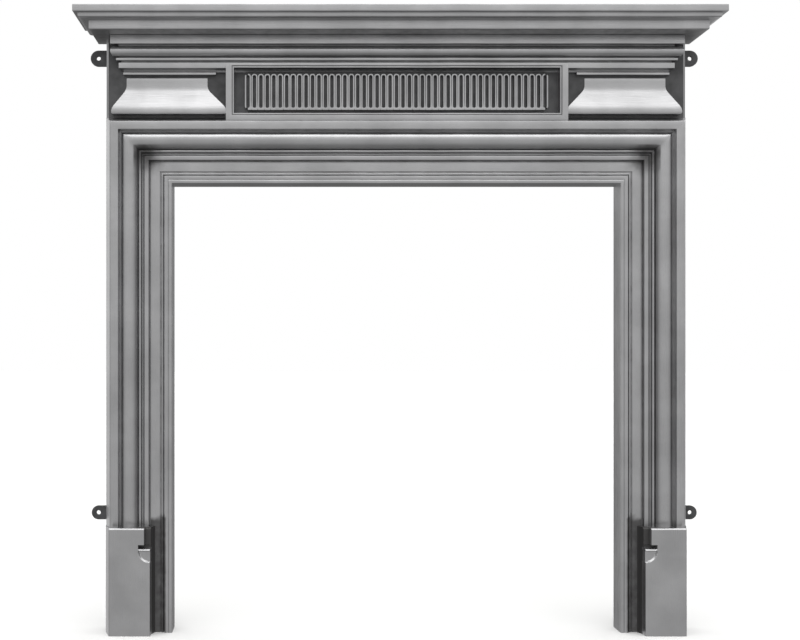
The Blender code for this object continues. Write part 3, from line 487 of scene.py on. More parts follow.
def architrave_line(a, d):
    """Closed (distance from the outer arris, depth) outline: the front members, then a wall behind."""
    bead_foot = BEAD_DEPTH - a.bead_width / 2
    small_foot = SMALL_BEAD_DEPTH - a.small_bead_width / 2
    strip_foot = STRIP_DEPTH - STRIP_FALL
    crest = a.roll_width * 0.4
    u = a.rail_width + RAIL_SIDE
    line = [[(-a.splay, 0), (-a.splay, a.plate_depth), (0, a.rail_depth - a.rail_bevel)]]
    line += [[(a.rail_bevel, a.rail_depth), (a.rail_width, a.rail_depth)]]
    line += [arc((u, ROLL_FOOT_DEPTH), (a.cove_width, ROLL_FOOT_DEPTH - a.cove_depth), 270, 350)]
    u += a.cove_width
    line += [arc((u + crest, ROLL_FOOT_DEPTH), (crest, a.roll_depth - ROLL_FOOT_DEPTH), 170, 90)]
    line += [arc((u + crest, bead_foot), (a.roll_width - crest, a.roll_depth - bead_foot), 85, 10)]
    u += a.roll_width
    line += [[(u, bead_foot - QUIRK_FALL), (u + QUIRK_WIDTH, bead_foot - QUIRK_FALL)]]
    u += QUIRK_WIDTH
    line += [bead(u, a.bead_width, bead_foot, BEAD_DEPTH)]
    u += a.bead_width
    line += [[(u, small_foot - QUIRK_FALL / 2), (u + QUIRK_WIDTH, small_foot - QUIRK_FALL / 2)]]
    u += QUIRK_WIDTH
    line += [bead(u, a.small_bead_width, small_foot, SMALL_BEAD_DEPTH)]
    u += a.small_bead_width
    line += [[(u, strip_foot), (u + QUIRK_WIDTH, strip_foot)]]
    u += QUIRK_WIDTH
    line += [[(u, STRIP_DEPTH - STRIP_BEVEL), (u + STRIP_BEVEL, STRIP_DEPTH)]]
    u += a.strip_width
    line += [[(u - STRIP_BEVEL, STRIP_DEPTH), (u, STRIP_DEPTH - STRIP_BEVEL)]]
    line += [[(u, BAND_GROOVE_DEPTH), (u + BAND_GROOVE_WIDTH, BAND_GROOVE_DEPTH)]]
    band_start = u
    u += BAND_GROOVE_WIDTH
    line += [[(u, a.band_depth), (u + a.band_width, a.band_depth)]]
    u += a.band_width
    line += [[(u, BAND_GROOVE_DEPTH), (u + INNER_GROOVE_WIDTH, BAND_GROOVE_DEPTH)]]
    u += INNER_GROOVE_WIDTH
    line += [bead(u, a.inner_bead_width, INNER_BEAD_DEPTH - a.inner_bead_width / 2, INNER_BEAD_DEPTH)]
    u += a.inner_bead_width
    line += [[(u, BAND_GROOVE_DEPTH), (u + FILLET_GROOVE_WIDTH, BAND_GROOVE_DEPTH)]]
    u += FILLET_GROOVE_WIDTH
    line += [[(u, a.fillet_depth), (u + a.fillet_width, a.fillet_depth)]]
    u += a.fillet_width
    line += [[(u + FILLET_QUIRK_WIDTH / 2, a.fillet_depth - FILLET_QUIRK_FALL)]]
    line += [[(u + FILLET_QUIRK_WIDTH, a.fillet_depth), (d.width - ARRIS_BEVEL, a.fillet_depth)]]
    line += [[(d.width, a.fillet_depth - ARRIS_BEVEL), (d.width, 0)]]
    inner = d.width - a.wall
    band_back = BAND_GROOVE_DEPTH - a.wall
    cove_back = a.cove_depth - a.wall
    roll_start = a.rail_width + RAIL_SIDE + a.cove_width
    roll_back = a.roll_depth - 1.4 * a.wall
    line += [[(inner, 0), (inner, band_back), (band_start + BAND_GROOVE_WIDTH, band_back)]]
    line += [[(band_start, band_back + QUIRK_FALL), (roll_start + 0.9 * a.roll_width, cove_back - QUIRK_FALL)]]
    line += [[(roll_start + 0.6 * a.roll_width, roll_back), (roll_start + 0.2 * a.roll_width, roll_back)]]
    line += [[(roll_start, cove_back), (a.rail_width - a.wall + RAIL_SIDE, cove_back)]]
    line += [[(a.rail_width - a.wall, a.rail_depth - a.wall), (0.6 * a.wall, a.rail_depth - a.wall)]]
    line += [[(a.wall - a.splay, a.plate_depth - a.wall), (a.wall - a.splay, 0)]]
    return np.vstack(line)


def make_architrave(scene, materials):
    """Legs and lintel: one outline carried up, across and down, mitred at 45 degrees.

    Residue is added where the wheel missed: a bell curve round each inner mitre, the bands beside
    the plinths, and a bell curve on the roll just above them.
    """
    a, d = scene.surround_architrave, derive(scene)
    loop = softened(architrave_line(a, d))
    u, depth = loop.a[None, :], loop.b[None, :]
    lateral, progress, spans = stations(d.top, 2 * d.half, 0.0125)
    points = place(lateral * (d.half - u), depth, progress * (d.top - u))
    across, level = np.abs(points[..., 0]), points[..., 2]
    away = np.hypot(across - d.half + CORNER_MEMBER, level - d.top + CORNER_MEMBER) / CORNER_REACH
    corner = 0.80 * np.exp(-away ** 2) * (u > CORNER_START)
    raw = 0.74 * ((u > RAW_BAND[0]) & (u < RAW_BAND[1])) * np.clip((RAW_TOP - level) / 0.006, 0, 1)
    smudge = 0.60 * np.exp(-((level - SMUDGE_LEVEL) / SMUDGE_REACH) ** 2)
    smudge = smudge * ((u > SMUDGE_MEMBERS[0]) & (u < SMUDGE_MEMBERS[1]))
    missed = np.maximum(np.maximum(corner, raw), smudge) * (depth > a.band_depth - QUIRK_FALL * 2)
    # The outline's hollows carry blacking and painted shade; the missed marks are unbuffed iron
    hollow = np.maximum(loop.hollow, missed)
    points = uneven(points, scene.surround_finish.unevenness)
    axes = np.array([2, 0, 2])[spans]
    build("architrave", points, loop, hollow, axes, materials["buffed"], "front_casting")


def slab(name, columns, levels, kept, depths, material, node):
    """Plate made of rectangular cells, with windows where a cell isn't kept.

    Front and back are the same grid at two depths, and every kept cell beside an open one gets a wall.
    """
    xs, zs = np.asarray(columns, float), np.asarray(levels, float)
    x, z = np.meshgrid(xs, zs, indexing="ij")
    back, front = place(x, depths[0], z), place(x, depths[1], z)
    count = x.size
    index = np.arange(count).reshape(x.shape)
    i, j = np.nonzero(kept)
    corners = np.stack([index[i, j], index[i + 1, j], index[i + 1, j + 1], index[i, j + 1]], axis=-1)
    padded = np.pad(kept, 1)
    walls = []
    for side, (di, dj) in enumerate(((0, -1), (1, 0), (0, 1), (-1, 0))):
        edge = ~padded[i + 1 + di, j + 1 + dj]
        first, second = corners[edge, side], corners[edge, (side + 1) % 4]
        walls.append(np.stack([second, first, first + count, second + count], axis=-1))
    quads = np.vstack([corners + count, corners[:, ::-1], *walls])
    vertices = np.vstack([back.reshape(-1, 3), front.reshape(-1, 3)])
    uv = vertices[quads][..., [0, 2]].reshape(-1, 2)
    return finish_piece(name, vertices, quads.tolist(), uv, np.full(2 * count, 0.4), material, node)


def make_ground_plate(scene, materials):
    """Plate that backs the frieze, with its side walls, cored out behind the proud members.

    The side walls are held in by the flush gap, so that they don't share a plane with the legs.
    """
    a, e, p, d = scene.surround_architrave, scene.surround_entablature, scene.surround_panel, derive(scene)
    low, top = d.top - PLATE_OVERLAP, CASTING_TOP
    frieze_half = d.end_offset + TORUS_GROOVE_DEPTH - a.wall
    panel_half = p.width / 2 - p.side_band
    block_low = p.width / 2 + e.inner_flare
    block_high = d.end_offset + e.neck_depth
    edges = [panel_half, block_low, block_high, frieze_half, d.plate_half - PLATE_BEVEL_WIDTH]
    columns = [-value for value in edges[::-1]] + edges
    levels = [low, d.block_bottom + a.wall, d.block_top - NECK_HEIGHT, d.fascia - a.wall]
    levels += [d.torus - a.wall / 2, top - a.wall, top]
    kept = np.ones((len(columns) - 1, len(levels) - 1), bool)
    kept[4, 1:3] = False
    kept[[2, 6], 1] = False
    kept[1:8, 4] = False
    depths = (a.plate_depth - a.wall, a.plate_depth)
    slab("ground_plate", columns, levels, kept, depths, materials["skin"], "front_casting")
    plan = [(0, 0), (0, a.plate_depth - PLATE_BEVEL_DEPTH), (PLATE_BEVEL_WIDTH, a.plate_depth)]
    plan += [(PLATE_BEVEL_WIDTH, a.plate_depth - a.wall), (a.wall, a.plate_depth - a.wall), (a.wall, 0)]
    loop = softened(plan, 0.0005)
    z = np.linspace(low, top, 24)[:, None]
    out, depth = d.plate_half - FLUSH_GAP - loop.a[None, :], np.maximum(loop.b, FLUSH_GAP)[None, :]
    for side, name in ((-1, "plate_side_left"), (1, "plate_side_right")):
        points = place(side * out, depth, z)
        build(name, points, loop, loop.hollow, 2, materials["buffed"], "front_casting")


def make_entablature(scene, materials):
    """Continuous mouldings over the panel and the blocks, returned at both ends."""
    a, e, d = scene.surround_architrave, scene.surround_entablature, derive(scene)
    inside = a.plate_depth - a.wall / 2
    recess = TORUS_GROOVE_DEPTH - a.wall
    centre = (d.torus + e.torus_radius, e.frieze_depth - e.torus_radius)
    line = [[(d.scotia, inside), (d.scotia, SCOTIA_DEPTH)]]
    line += [[(d.fascia - SCOTIA_HEIGHT / 2, SCOTIA_DEPTH + (e.fascia_depth - SCOTIA_DEPTH) / 4)]]
    line += [[(d.fascia, e.fascia_depth - QUIRK_FALL), (d.fascia, e.fascia_depth)]]
    line += [[(d.fascia_top, e.fascia_depth), (d.fascia_top, FASCIA_GROOVE_DEPTH)]]
    line += [[(d.fillet, FASCIA_GROOVE_DEPTH), (d.fillet, e.upper_fillet_depth)]]
    line += [[(d.fillet_top, e.upper_fillet_depth), (d.fillet_top, TORUS_GROOVE_DEPTH)]]
    line += [arc(centre, (e.torus_radius, e.torus_radius), 200, -20, 24)]
    line += [[(d.frieze, TORUS_GROOVE_DEPTH), (d.frieze, e.frieze_depth), (CASTING_TOP, e.frieze_depth)]]
    line += [[(CASTING_TOP, inside), (CASTING_TOP - a.wall, inside), (CASTING_TOP - a.wall, recess)]]
    line += [[(d.torus - a.wall / 2, recess), (d.torus - a.wall / 2, inside)]]

    def lateral_x(level, depth):
        return -(d.end_offset + depth), d.end_offset + depth

    # Blacking and painted shade in the hollows, a weaker share of both above the torus's centre
    def shade_and_blacking(level, depth, hollow):
        return np.where(level > centre[0], hollow * 0.4, hollow)

    returned("entablature", np.vstack(line), 0.020, lateral_x, scene, materials["buffed"], "front_casting",
             shade_and_blacking=shade_and_blacking)


def bell(d, e):
    """Outer line of an end block as (level, spread), downwards from the neck to the nose.

    The spread is a straight slope eased at both ends, each by a parabola over the same share.
    """
    t = np.linspace(0, 1, 40)
    scale = 2 * BELL_EASE * (1 - BELL_EASE)
    slope = (t - BELL_EASE / 2) / (1 - BELL_EASE)
    spread = np.where(t < BELL_EASE, t ** 2 / scale, np.where(t > 1 - BELL_EASE, 1 - (1 - t) ** 2 / scale, slope))
    neck, nose = d.block_top - NECK_HEIGHT, d.block_bottom + NOSE_HEIGHT
    return np.column_stack([neck + (nose - neck) * t, e.front_flare * spread])


def make_end_blocks(scene, materials):
    """Bell-shaped blocks with their neck fillets: the bell carried round three sides, hollow behind."""
    a, e, p, d = scene.surround_architrave, scene.surround_entablature, scene.surround_panel, derive(scene)
    swell = bell(d, e)
    proud = e.neck_fillet_proud
    line = [[(d.fascia, NECK_BAND_PROUD), (d.scotia, NECK_BAND_PROUD), (d.scotia, proud)]]
    line += [[(d.neck_fillet, proud), (d.neck_fillet, -NECK_GROOVE_SINK), (d.block_top, -NECK_GROOVE_SINK)]]
    line += [[(d.block_top, 0)], swell, [(d.block_bottom + NOSE_HEIGHT * 0.3, e.front_flare * 0.98)]]
    line += [[(d.block_bottom, e.front_flare * 0.93)]]
    inside = a.plate_depth - a.wall - e.neck_depth
    line += [[(d.block_bottom, inside), (d.block_bottom + a.wall, inside)]]
    hollow = swell[::-1] - (0, a.wall)
    hollow = hollow[(hollow[:, 0] > d.block_bottom + a.wall) & (hollow[:, 1] > inside)]
    line += [[(d.block_bottom + a.wall, e.front_flare - a.wall)], hollow, [(d.block_top - NECK_HEIGHT, inside)]]
    line += [[(d.fascia, inside)]]
    line = np.vstack(line) + (0, e.neck_depth)
    outer = d.end_offset + e.neck_depth
    inner = p.width / 2 + e.inner_flare - BLOCK_BURY

    for side, name in ((-1, "end_block_left"), (1, "end_block_right")):
        def lateral_x(level, depth, side=side):
            out = depth - e.neck_depth
            over = level > d.block_top
            near_share = np.where(over, e.neck_fillet_inner / proud, e.inner_flare / e.front_flare)
            far_share = np.where(over, 1.0, e.outer_flare / e.front_flare)
            near = side * (inner - np.where(out > 0, out * near_share, np.maximum(out, -NECK_GROOVE_SINK)))
            far = side * (outer + np.where(out > 0, out * far_share, np.maximum(out, -NECK_GROOVE_SINK)))
            return (near, far) if side > 0 else (far, near)

        returned(name, line, 0.020, lateral_x, scene, materials["buffed"], "front_casting", step=0.006, arris=0.0009)


def make_panel(scene, materials):
    """Frame and ground: an outline carried round four mitred sides, with a plate behind it."""
    a, p, d = scene.surround_architrave, scene.surround_panel, derive(scene)
    inside = a.plate_depth - a.wall / 2
    ground = p.ground_depth
    quirk = PANEL_BEAD_DEPTH - PANEL_QUIRK_FALL
    band = p.top_band
    line = [(0, inside), (0, p.depth), (band, p.depth), (band, quirk), (band + PANEL_QUIRK, quirk)]
    line += [(band + PANEL_QUIRK, PANEL_BEAD_DEPTH), (band + PANEL_QUIRK + PANEL_BEAD, PANEL_BEAD_DEPTH)]
    line += [(band + PANEL_QUIRK + PANEL_BEAD, ground - a.wall), (band, ground - a.wall), (band, inside)]
    loop = softened(line, 0.00035)
    inset, depth = loop.a[None, :], loop.b[None, :]
    margin = 0.0012
    stretch = np.clip((inset - margin) / (band - 2 * margin), 0, 1)
    side_inset = inset + stretch * (p.side_band - band)
    bottom_inset = inset + stretch * (p.bottom_band - band)
    low, high = d.top + PANEL_LIFT, d.fascia_top - PANEL_TOP_DROP
    left, right = -p.width / 2 + side_inset, p.width / 2 - side_inset
    bottom, top = low + bottom_inset, high - inset
    long_steps, short_steps = math.ceil(p.width / RUN_STEP), math.ceil((high - low) / RUN_STEP)
    t = np.linspace(0, 1, long_steps, endpoint=False)[:, None]
    s = np.linspace(0, 1, short_steps, endpoint=False)[:, None]
    x = np.vstack([left + t * (right - left), right + 0 * s, right - t * (right - left), left + 0 * s])
    z = np.vstack([bottom + 0 * t, bottom + s * (top - bottom), top + 0 * t, top - s * (top - bottom)])
    axes = np.repeat([0, 2, 0, 2], [long_steps, short_steps, long_steps, short_steps])
    points = uneven(place(x, depth, z), scene.surround_finish.unevenness)
    build("panel_frame", points, loop, loop.hollow, axes, materials["buffed"], "front_casting", ring=True)
    half = p.width / 2 - p.side_band - PANEL_QUIRK
    levels = [low + p.bottom_band + PANEL_QUIRK, high - p.top_band - PANEL_QUIRK]
    slab("panel_ground", [-half, half], levels, np.ones((1, 1), bool), (ground - a.wall, ground),
         materials["skin"], "front_casting")


def outline_angles(corner_steps, side_steps):
    """Way round a round-ended slot: the angle of the edge's outward direction, and which end it is at."""
    along_side = np.linspace(1, -1, side_steps + 2)[1:-1]
    half = np.linspace(0, math.pi, corner_steps)
    angle = np.concatenate([half, np.full(side_steps, math.pi), half + math.pi, np.zeros(side_steps)])
    end = np.concatenate([np.ones(corner_steps), along_side, -np.ones(corner_steps), -along_side])
    return angle, end


def wrapped_quads(rows, columns):
    """Quads of a grid that closes on itself both ways."""
    index = np.arange(rows * columns).reshape(rows, columns)
    ahead, beside = np.roll(index, -1, axis=0), np.roll(index, -1, axis=1)
    both = np.roll(ahead, -1, axis=1)
    return np.stack([index, beside, both, ahead], axis=-1).reshape(-1, 4)


def outward(vertices, quads):
    """The same quads, turned round where the volume they enclose comes out negative."""
    arm = vertices - vertices.mean(axis=0)
    volume = np.einsum("ij,ij->", np.cross(arm[quads[:, 0]], arm[quads[:, 1]]), arm[quads[:, 2]])
    volume += np.einsum("ij,ij->", np.cross(arm[quads[:, 0]], arm[quads[:, 2]]), arm[quads[:, 3]])
    return quads[:, ::-1] if volume < 0 else quads


def make_lattice(scene, materials):
    """Bars between round-ended flutes: one closed ring round each flute, clipped at its neighbours.

    A point of a ring is the flute's edge moved out by a share of the bar's width there. The width is
    the rim's, or less where the middle line between two flutes comes first, and the top is rounded
    down towards each free edge as a quarter circle.
    """
    p, d = scene.surround_panel, derive(scene)
    radius = p.slot_width / 2
    straight = p.slot_height / 2 - radius
    angle, end = outline_angles(15, 5)
    cosine, sine = np.cos(angle), np.sin(angle)
    number = np.arange(p.slots)[:, None]
    outer_side = ((number == 0) & (cosine < -0.01)) | ((number == p.slots - 1) & (cosine > 0.01))
    to_neighbour = p.slot_pitch / 2 / np.maximum(np.abs(cosine), 0.001) - radius
    to_foot = (radius + p.foot_rim) / np.maximum(-sine, 0.001) - radius
    fade = np.where(outer_side, np.clip((1 - np.abs(sine)) / BAR_FADE, 0, 1), 1.0)
    end_bar = p.end_bar * np.maximum(fade, 0.15)
    rim = np.where(sine < 0, to_foot, p.rim)
    free = outer_side | (rim < to_neighbour)
    width = np.where(outer_side, end_bar, np.minimum(rim, to_neighbour))[..., None]
    share_out = np.array([0, 0, 0.05, 0.13, 0.26, 0.42, 0.58, 0.74, 0.87, 0.95, 1, 1])
    inner_gap, outer_gap = share_out * width, (1 - share_out) * width
    ease = np.minimum(BAR_ROUNDING, width / 2)
    drop_in = ease - np.sqrt(np.maximum(ease ** 2 - np.clip(ease - inner_gap, 0, None) ** 2, 0))
    drop_out = ease - np.sqrt(np.maximum(ease ** 2 - np.clip(ease - outer_gap, 0, None) ** 2, 0))
    height = (p.relief - drop_in - drop_out * free[..., None]) * fade[..., None] - (1 - fade[..., None]) * BAR_SINK
    foot = np.zeros(12, bool)
    foot[[0, -1]] = True
    height = np.where(foot, -BAR_SINK, height)
    low = d.top + PANEL_LIFT + p.bottom_band
    high = d.fascia_top - PANEL_TOP_DROP - p.top_band
    centre_x = ((number - (p.slots - 1) / 2) * p.slot_pitch)[..., None]
    reach = radius + share_out * width
    x = centre_x + cosine[:, None] * reach
    z = (low + high) / 2 + (end * straight)[:, None] + sine[:, None] * reach
    points = place(x, p.ground_depth + height, z).reshape(p.slots, -1, 3)
    quads = outward(points[0], wrapped_quads(len(angle), len(share_out)))
    per_slot = points.shape[1]
    quads = (quads[None] + (np.arange(p.slots) * per_slot)[:, None, None]).reshape(-1, 4)
    vertices = uneven(points, scene.surround_finish.unevenness).reshape(-1, 3)
    # Darker towards the ground between the bars: painted shade and blacking down in the flutes
    hollow = np.broadcast_to(np.clip(1 - height / (p.relief * 0.8), 0, 1), x.shape).ravel()
    uv = vertices[quads][..., [2, 0]].reshape(-1, 2)
    finish_piece("flute_lattice", vertices, quads.tolist(), uv, hollow, materials["buffed"], "front_casting")


def stop_carving(p, u, depth, z):
    """Depth after the stop at the plinth's inner top corner is carved, and the painted shade in the cut.

    It is a step down from the block's top, a recess under it, a ledge that rounds forward to the face
    as a quarter circle, and a shallow quarter disc whose centre is on the block's inner arris.
    """
    edge = p.width - u
    soft = 0.0010

    def inside(value):
        return np.clip(value / soft + 0.5, 0, 1)

    step = inside(p.stop_step - edge) * inside(z - p.stop_level)
    recess = inside(p.stop_width - edge) * inside(p.stop_level - z) * inside(z - p.stop_level + p.stop_recess)
    deep = np.maximum(step, recess)
    ledge_low = p.stop_level - p.stop_recess - p.stop_ledge
    climb = np.clip((z - ledge_low) / p.stop_ledge, 0, 1)
    slope = (1 - np.sqrt(1 - climb ** 2)) * inside(p.stop_level - p.stop_recess - z)
    slope = slope * inside(p.stop_width - edge)
    away = np.hypot(np.maximum(edge, 0), np.minimum(z - ledge_low, 0))
    disc = inside((p.stop_width - away) * 0.5) * inside(ledge_low - z)
    cut = deep * p.stop_sink + slope * p.stop_sink * (1 - deep) + disc * p.stop_disc_sink
    front_only = np.clip((depth - 0.055) / 0.01, 0, 1)
    # The second value is painted shade: full in the step and the recess, faint on the quarter disc
    return np.minimum(depth, p.depth - cut * front_only), np.clip(deep + 0.25 * disc, 0, 1)


def make_plinths(scene, materials):
    """Plinth blocks: the block's plan carried up, with the stop carved in at its inner top corner."""
    a, p, d = scene.surround_architrave, scene.surround_plinth, derive(scene)
    outer = -a.splay - PLINTH_PROUD
    corner = p.width + p.hollow_width
    side_depth = p.depth - a.band_depth + QUIRK_FALL
    inside = a.plate_depth - a.wall
    line = [[(outer, FLUSH_GAP), (outer, a.plate_depth), (-PLINTH_PROUD, p.depth - a.rail_bevel)]]
    line += [[(a.rail_bevel - PLINTH_PROUD, p.depth)], arc((corner, p.depth), (p.hollow_width, side_depth), 180, 270)]
    line += [[(corner, inside), (outer + a.wall, inside), (outer + a.wall, FLUSH_GAP)]]
    loop = softened(np.vstack(line), 0.0006, longest=0.0018)
    bottom = p.stop_level - p.stop_recess - p.stop_ledge - p.stop_width - 0.004
    coarse = np.linspace(0, bottom, math.ceil(bottom / RUN_STEP), endpoint=False)
    fine = np.linspace(bottom, p.height, math.ceil((p.height - bottom) / 0.0009))
    z = np.concatenate([coarse, fine])[:, None]
    u, depth = loop.a[None, :], loop.b[None, :]
    carved, cut_shade = stop_carving(p, u, depth + 0 * z, z)
    carved = np.where(u > corner - 0.0005, depth, carved)
    bevel = np.clip((z - p.height + p.bevel) / p.bevel, 0, 1) ** 1.6 * p.bevel
    carved = carved - bevel * np.clip((carved - 0.060) / 0.01, 0, 1)
    # Painted shade on the block's inner hollow and side and in the carved stop, added to the hollows' blacking and
    # painted shade
    inner_side_shade = np.clip((u - p.width) / 0.002, 0, 1) * np.clip((depth - inside) / 0.002, 0, 1)
    hollow = np.clip(loop.hollow[None, :] * 0.5 + cut_shade + inner_side_shade + 0 * z, 0, 1)
    for side, name in ((-1, "plinth_left"), (1, "plinth_right")):
        points = uneven(place(side * (d.half - u), carved, z), scene.surround_finish.unevenness)
        build(name, points, loop, hollow, 2, materials["buffed"], "front_casting")


def make_lugs(scene, materials):
    """Wall lugs: rings round the screw hole, out to a half circle and a straight-sided root."""
    g, d = scene.surround_lug, derive(scene)
    angle = np.linspace(0, 2 * math.pi, 56, endpoint=False)[:, None]
    edge = 0.0009
    t = g.thickness
    steps = [(0, edge), (0, t - edge), (edge, t), (0.35, t), (0.7, t), (1 - edge, t), (1, t - edge), (1, edge), (1 - edge, 0), (edge, 0)]
    for height, radius, label in (
        (g.lower_height, g.lower_radius, "lower"), (CASTING_TOP - g.upper_drop, g.upper_radius, "upper"),
    ):
        root = (g.reach + 0.003) / np.maximum(-np.cos(angle), 0.001)
        flat = radius / np.maximum(np.abs(np.sin(angle)), 0.001)
        rim = np.where(np.cos(angle) >= 0, radius, np.minimum(root, flat))
        share_out = np.array([s if s in (0, 1) else s for s, _ in steps])
        share_out = np.where(share_out == edge, edge / radius, share_out)
        share_out = np.where(share_out == 1 - edge, 1 - edge / radius, share_out)
        reach = g.hole_radius + share_out[None, :] * (rim - g.hole_radius)
        depth = np.array([level for _, level in steps])[None, :] + 0 * reach
        for side, name in ((-1, "left"), (1, "right")):
            x = side * (d.plate_half + g.reach + np.cos(angle) * reach)
            points = place(x, depth, height + np.sin(angle) * reach)
            vertices = points.reshape(-1, 3)
            quads = outward(vertices, wrapped_quads(*reach.shape))
            uv = vertices[quads][..., [0, 2]].reshape(-1, 2)
            finish_piece(f"wall_lug_{label}_{name}", vertices, quads.tolist(), uv, np.full(len(vertices), 0.5),
                         materials["skin"], "front_casting")


def make_shelf(scene, materials):
    """Mantel shelf: its edge mouldings carried round three sides, hollow underneath."""
    a, e, s, d = scene.surround_architrave, scene.surround_entablature, scene.surround_shelf, derive(scene)
    ovolo_outer = s.overhang - s.step
    ovolo_inner = ovolo_outer - s.ovolo_width
    lower = ovolo_inner - s.quirk
    fascia = SHELF_TOP - s.fascia_height
    ovolo_low = fascia - s.ovolo_height
    lip = lower - s.lip
    back = -e.frieze_depth
    line = [[(SHELF_TOP, back), (SHELF_TOP, s.overhang), (fascia, s.overhang), (fascia, ovolo_outer)]]
    quarter = fascia - s.ovolo_flat
    line += [arc((quarter, ovolo_inner), (s.ovolo_height - s.ovolo_flat, s.ovolo_width), 90, 180)]
    line += [[(ovolo_low, lower)]]
    line += [arc((SHELF_BOTTOM + s.lower_round, lower - s.lower_round), (s.lower_round, s.lower_round), 90, 180)]
    line += [[(SHELF_BOTTOM, lip), (SHELF_BOTTOM + a.wall, lip), (SHELF_BOTTOM + a.wall, lower - a.wall)]]
    line += [[(ovolo_low, lower - a.wall), (fascia, ovolo_inner - a.wall)]]
    line += [[(SHELF_TOP - a.wall, ovolo_outer - s.ovolo_width / 2 - a.wall), (SHELF_TOP - a.wall, back)]]

    def lateral_x(level, depth):
        return -(d.end_offset + depth), d.end_offset + depth

    # Painted shade on the underside, and a weaker share of blacking and painted shade in the other hollows
    def shade_and_blacking(level, depth, hollow):
        return np.where(level < SHELF_BOTTOM + 0.001, s.underside_shade, hollow * 0.45)

    returned("mantel_shelf", np.vstack(line) + (0, e.frieze_depth), 0.0, lateral_x, scene,
             materials["buffed"], "mantel_shelf", arris=0.0008, shade_and_blacking=shade_and_blacking)


def add(tree, kind, inputs=None, **settings):
    """Add a node, set its properties, and set or link its inputs."""
    node = tree.nodes.new(kind)
    for key, value in settings.items():
        setattr(node, key, value)
    for key, value in (inputs or {}).items():
        if isinstance(value, bpy.types.NodeSocket):
            tree.links.new(value, node.inputs[key])
        else:
            node.inputs[key].default_value = value
    return node


def mixed_colour(tree, factor, first, second):
    """Colour between two colours by a factor."""
    mix = add(tree, "ShaderNodeMix", {0: factor, 6: first, 7: second}, data_type="RGBA")
    return mix.outputs[2]


def ranged(tree, value, low, high, to_low=0.0, to_high=1.0):
    """Value carried from one range to another, held at its ends."""
    inputs = {"Value": value, "From Min": low, "From Max": high, "To Min": to_low, "To Max": to_high}
    return add(tree, "ShaderNodeMapRange", inputs).outputs[0]


def buffed_iron(values):
    """Grey cast iron, sand cast, then ground and buffed with a wheel along its members.

    It gives the eye a soft silver sheen with faint lines along each run, slow clouds of lighter and
    darker metal, a few sand pits, and old blacking in every hollow that the wheel couldn't reach,
    with painted shade laid into the same hollows in the same darker colour.
    """
    material = bpy.data.materials.new("buffed_grey_cast_iron")
    material.use_nodes = True
    tree = material.node_tree
    shader = tree.nodes["Principled BSDF"]
    where = add(tree, "ShaderNodeTexCoord").outputs["Object"]
    run = add(tree, "ShaderNodeUVMap", uv_map="run").outputs[0]
    hollow = add(tree, "ShaderNodeAttribute", attribute_name="hollow").outputs["Fac"]
    # Wheel lines are drawn 1.2 mm apart and 80 mm long, coarser than real ones, so that they show
    stretched = add(tree, "ShaderNodeMapping", {"Vector": run, "Scale": (1 / 0.08, 1 / 0.0012, 1)}).outputs[0]
    lines = add(tree, "ShaderNodeTexNoise", {"Vector": stretched, "Scale": 1.0, "Detail": 2.0}).outputs[0]
    clouds = add(tree, "ShaderNodeTexNoise", {"Vector": where, "Scale": 1 / 0.09, "Detail": 3.0}).outputs[0]
    patches = add(tree, "ShaderNodeTexNoise", {"Vector": where, "Scale": 1 / 0.018, "Detail": 3.0}).outputs[0]
    # Sand pits about 1.5 mm apart
    pits = add(tree, "ShaderNodeTexNoise", {"Vector": where, "Scale": 1 / 0.0015, "Detail": 2.0}).outputs[0]
    wander = ranged(tree, patches, 0.3, 0.7, -0.07, 0.07)
    # Mask of old blacking and of painted shade in the same recesses and undersides, from the hollow attribute and
    # slow patches
    blacking_and_shade_mask = add(tree, "ShaderNodeMath", {0: hollow, 1: wander}, operation="ADD").outputs[0]
    blacking_and_shade_mask = add(tree, "ShaderNodeMapRange", {"Value": blacking_and_shade_mask, "From Min": 0.18, "From Max": 0.92},
               interpolation_type="SMOOTHSTEP").outputs[0]
    bright = (*values.bright, 1)
    dull = (*[part * 0.84 for part in values.bright], 1)
    metal = mixed_colour(tree, ranged(tree, clouds, 0.35, 0.65), dull, bright)
    # Painted shade and blacking: the base colour goes towards the one dark colour by that mask
    tree.links.new(mixed_colour(tree, blacking_and_shade_mask, metal, (*values.blacking_and_shade_colour, 1)), shader.inputs["Base Color"])
    sheen = ranged(tree, lines, 0.3, 0.7, values.sheen - 0.05, values.sheen + 0.07)
    rough = add(tree, "ShaderNodeMix", {0: blacking_and_shade_mask, 2: sheen, 3: 0.6}).outputs[0]
    tree.links.new(rough, shader.inputs["Roughness"])
    tree.links.new(ranged(tree, blacking_and_shade_mask, 0.0, 1.0, 1.0, 0.55), shader.inputs["Metallic"])
    relief = add(tree, "ShaderNodeMath", {0: lines, 1: pits}, operation="ADD").outputs[0]
    ripple = add(tree, "ShaderNodeBump", {"Height": patches, "Strength": 0.30, "Distance": 0.0010})
    bump = add(tree, "ShaderNodeBump", {"Height": relief, "Strength": 0.10, "Distance": 0.0003,
                                        "Normal": ripple.outputs[0]})
    tree.links.new(bump.outputs[0], shader.inputs["Normal"])
    return material


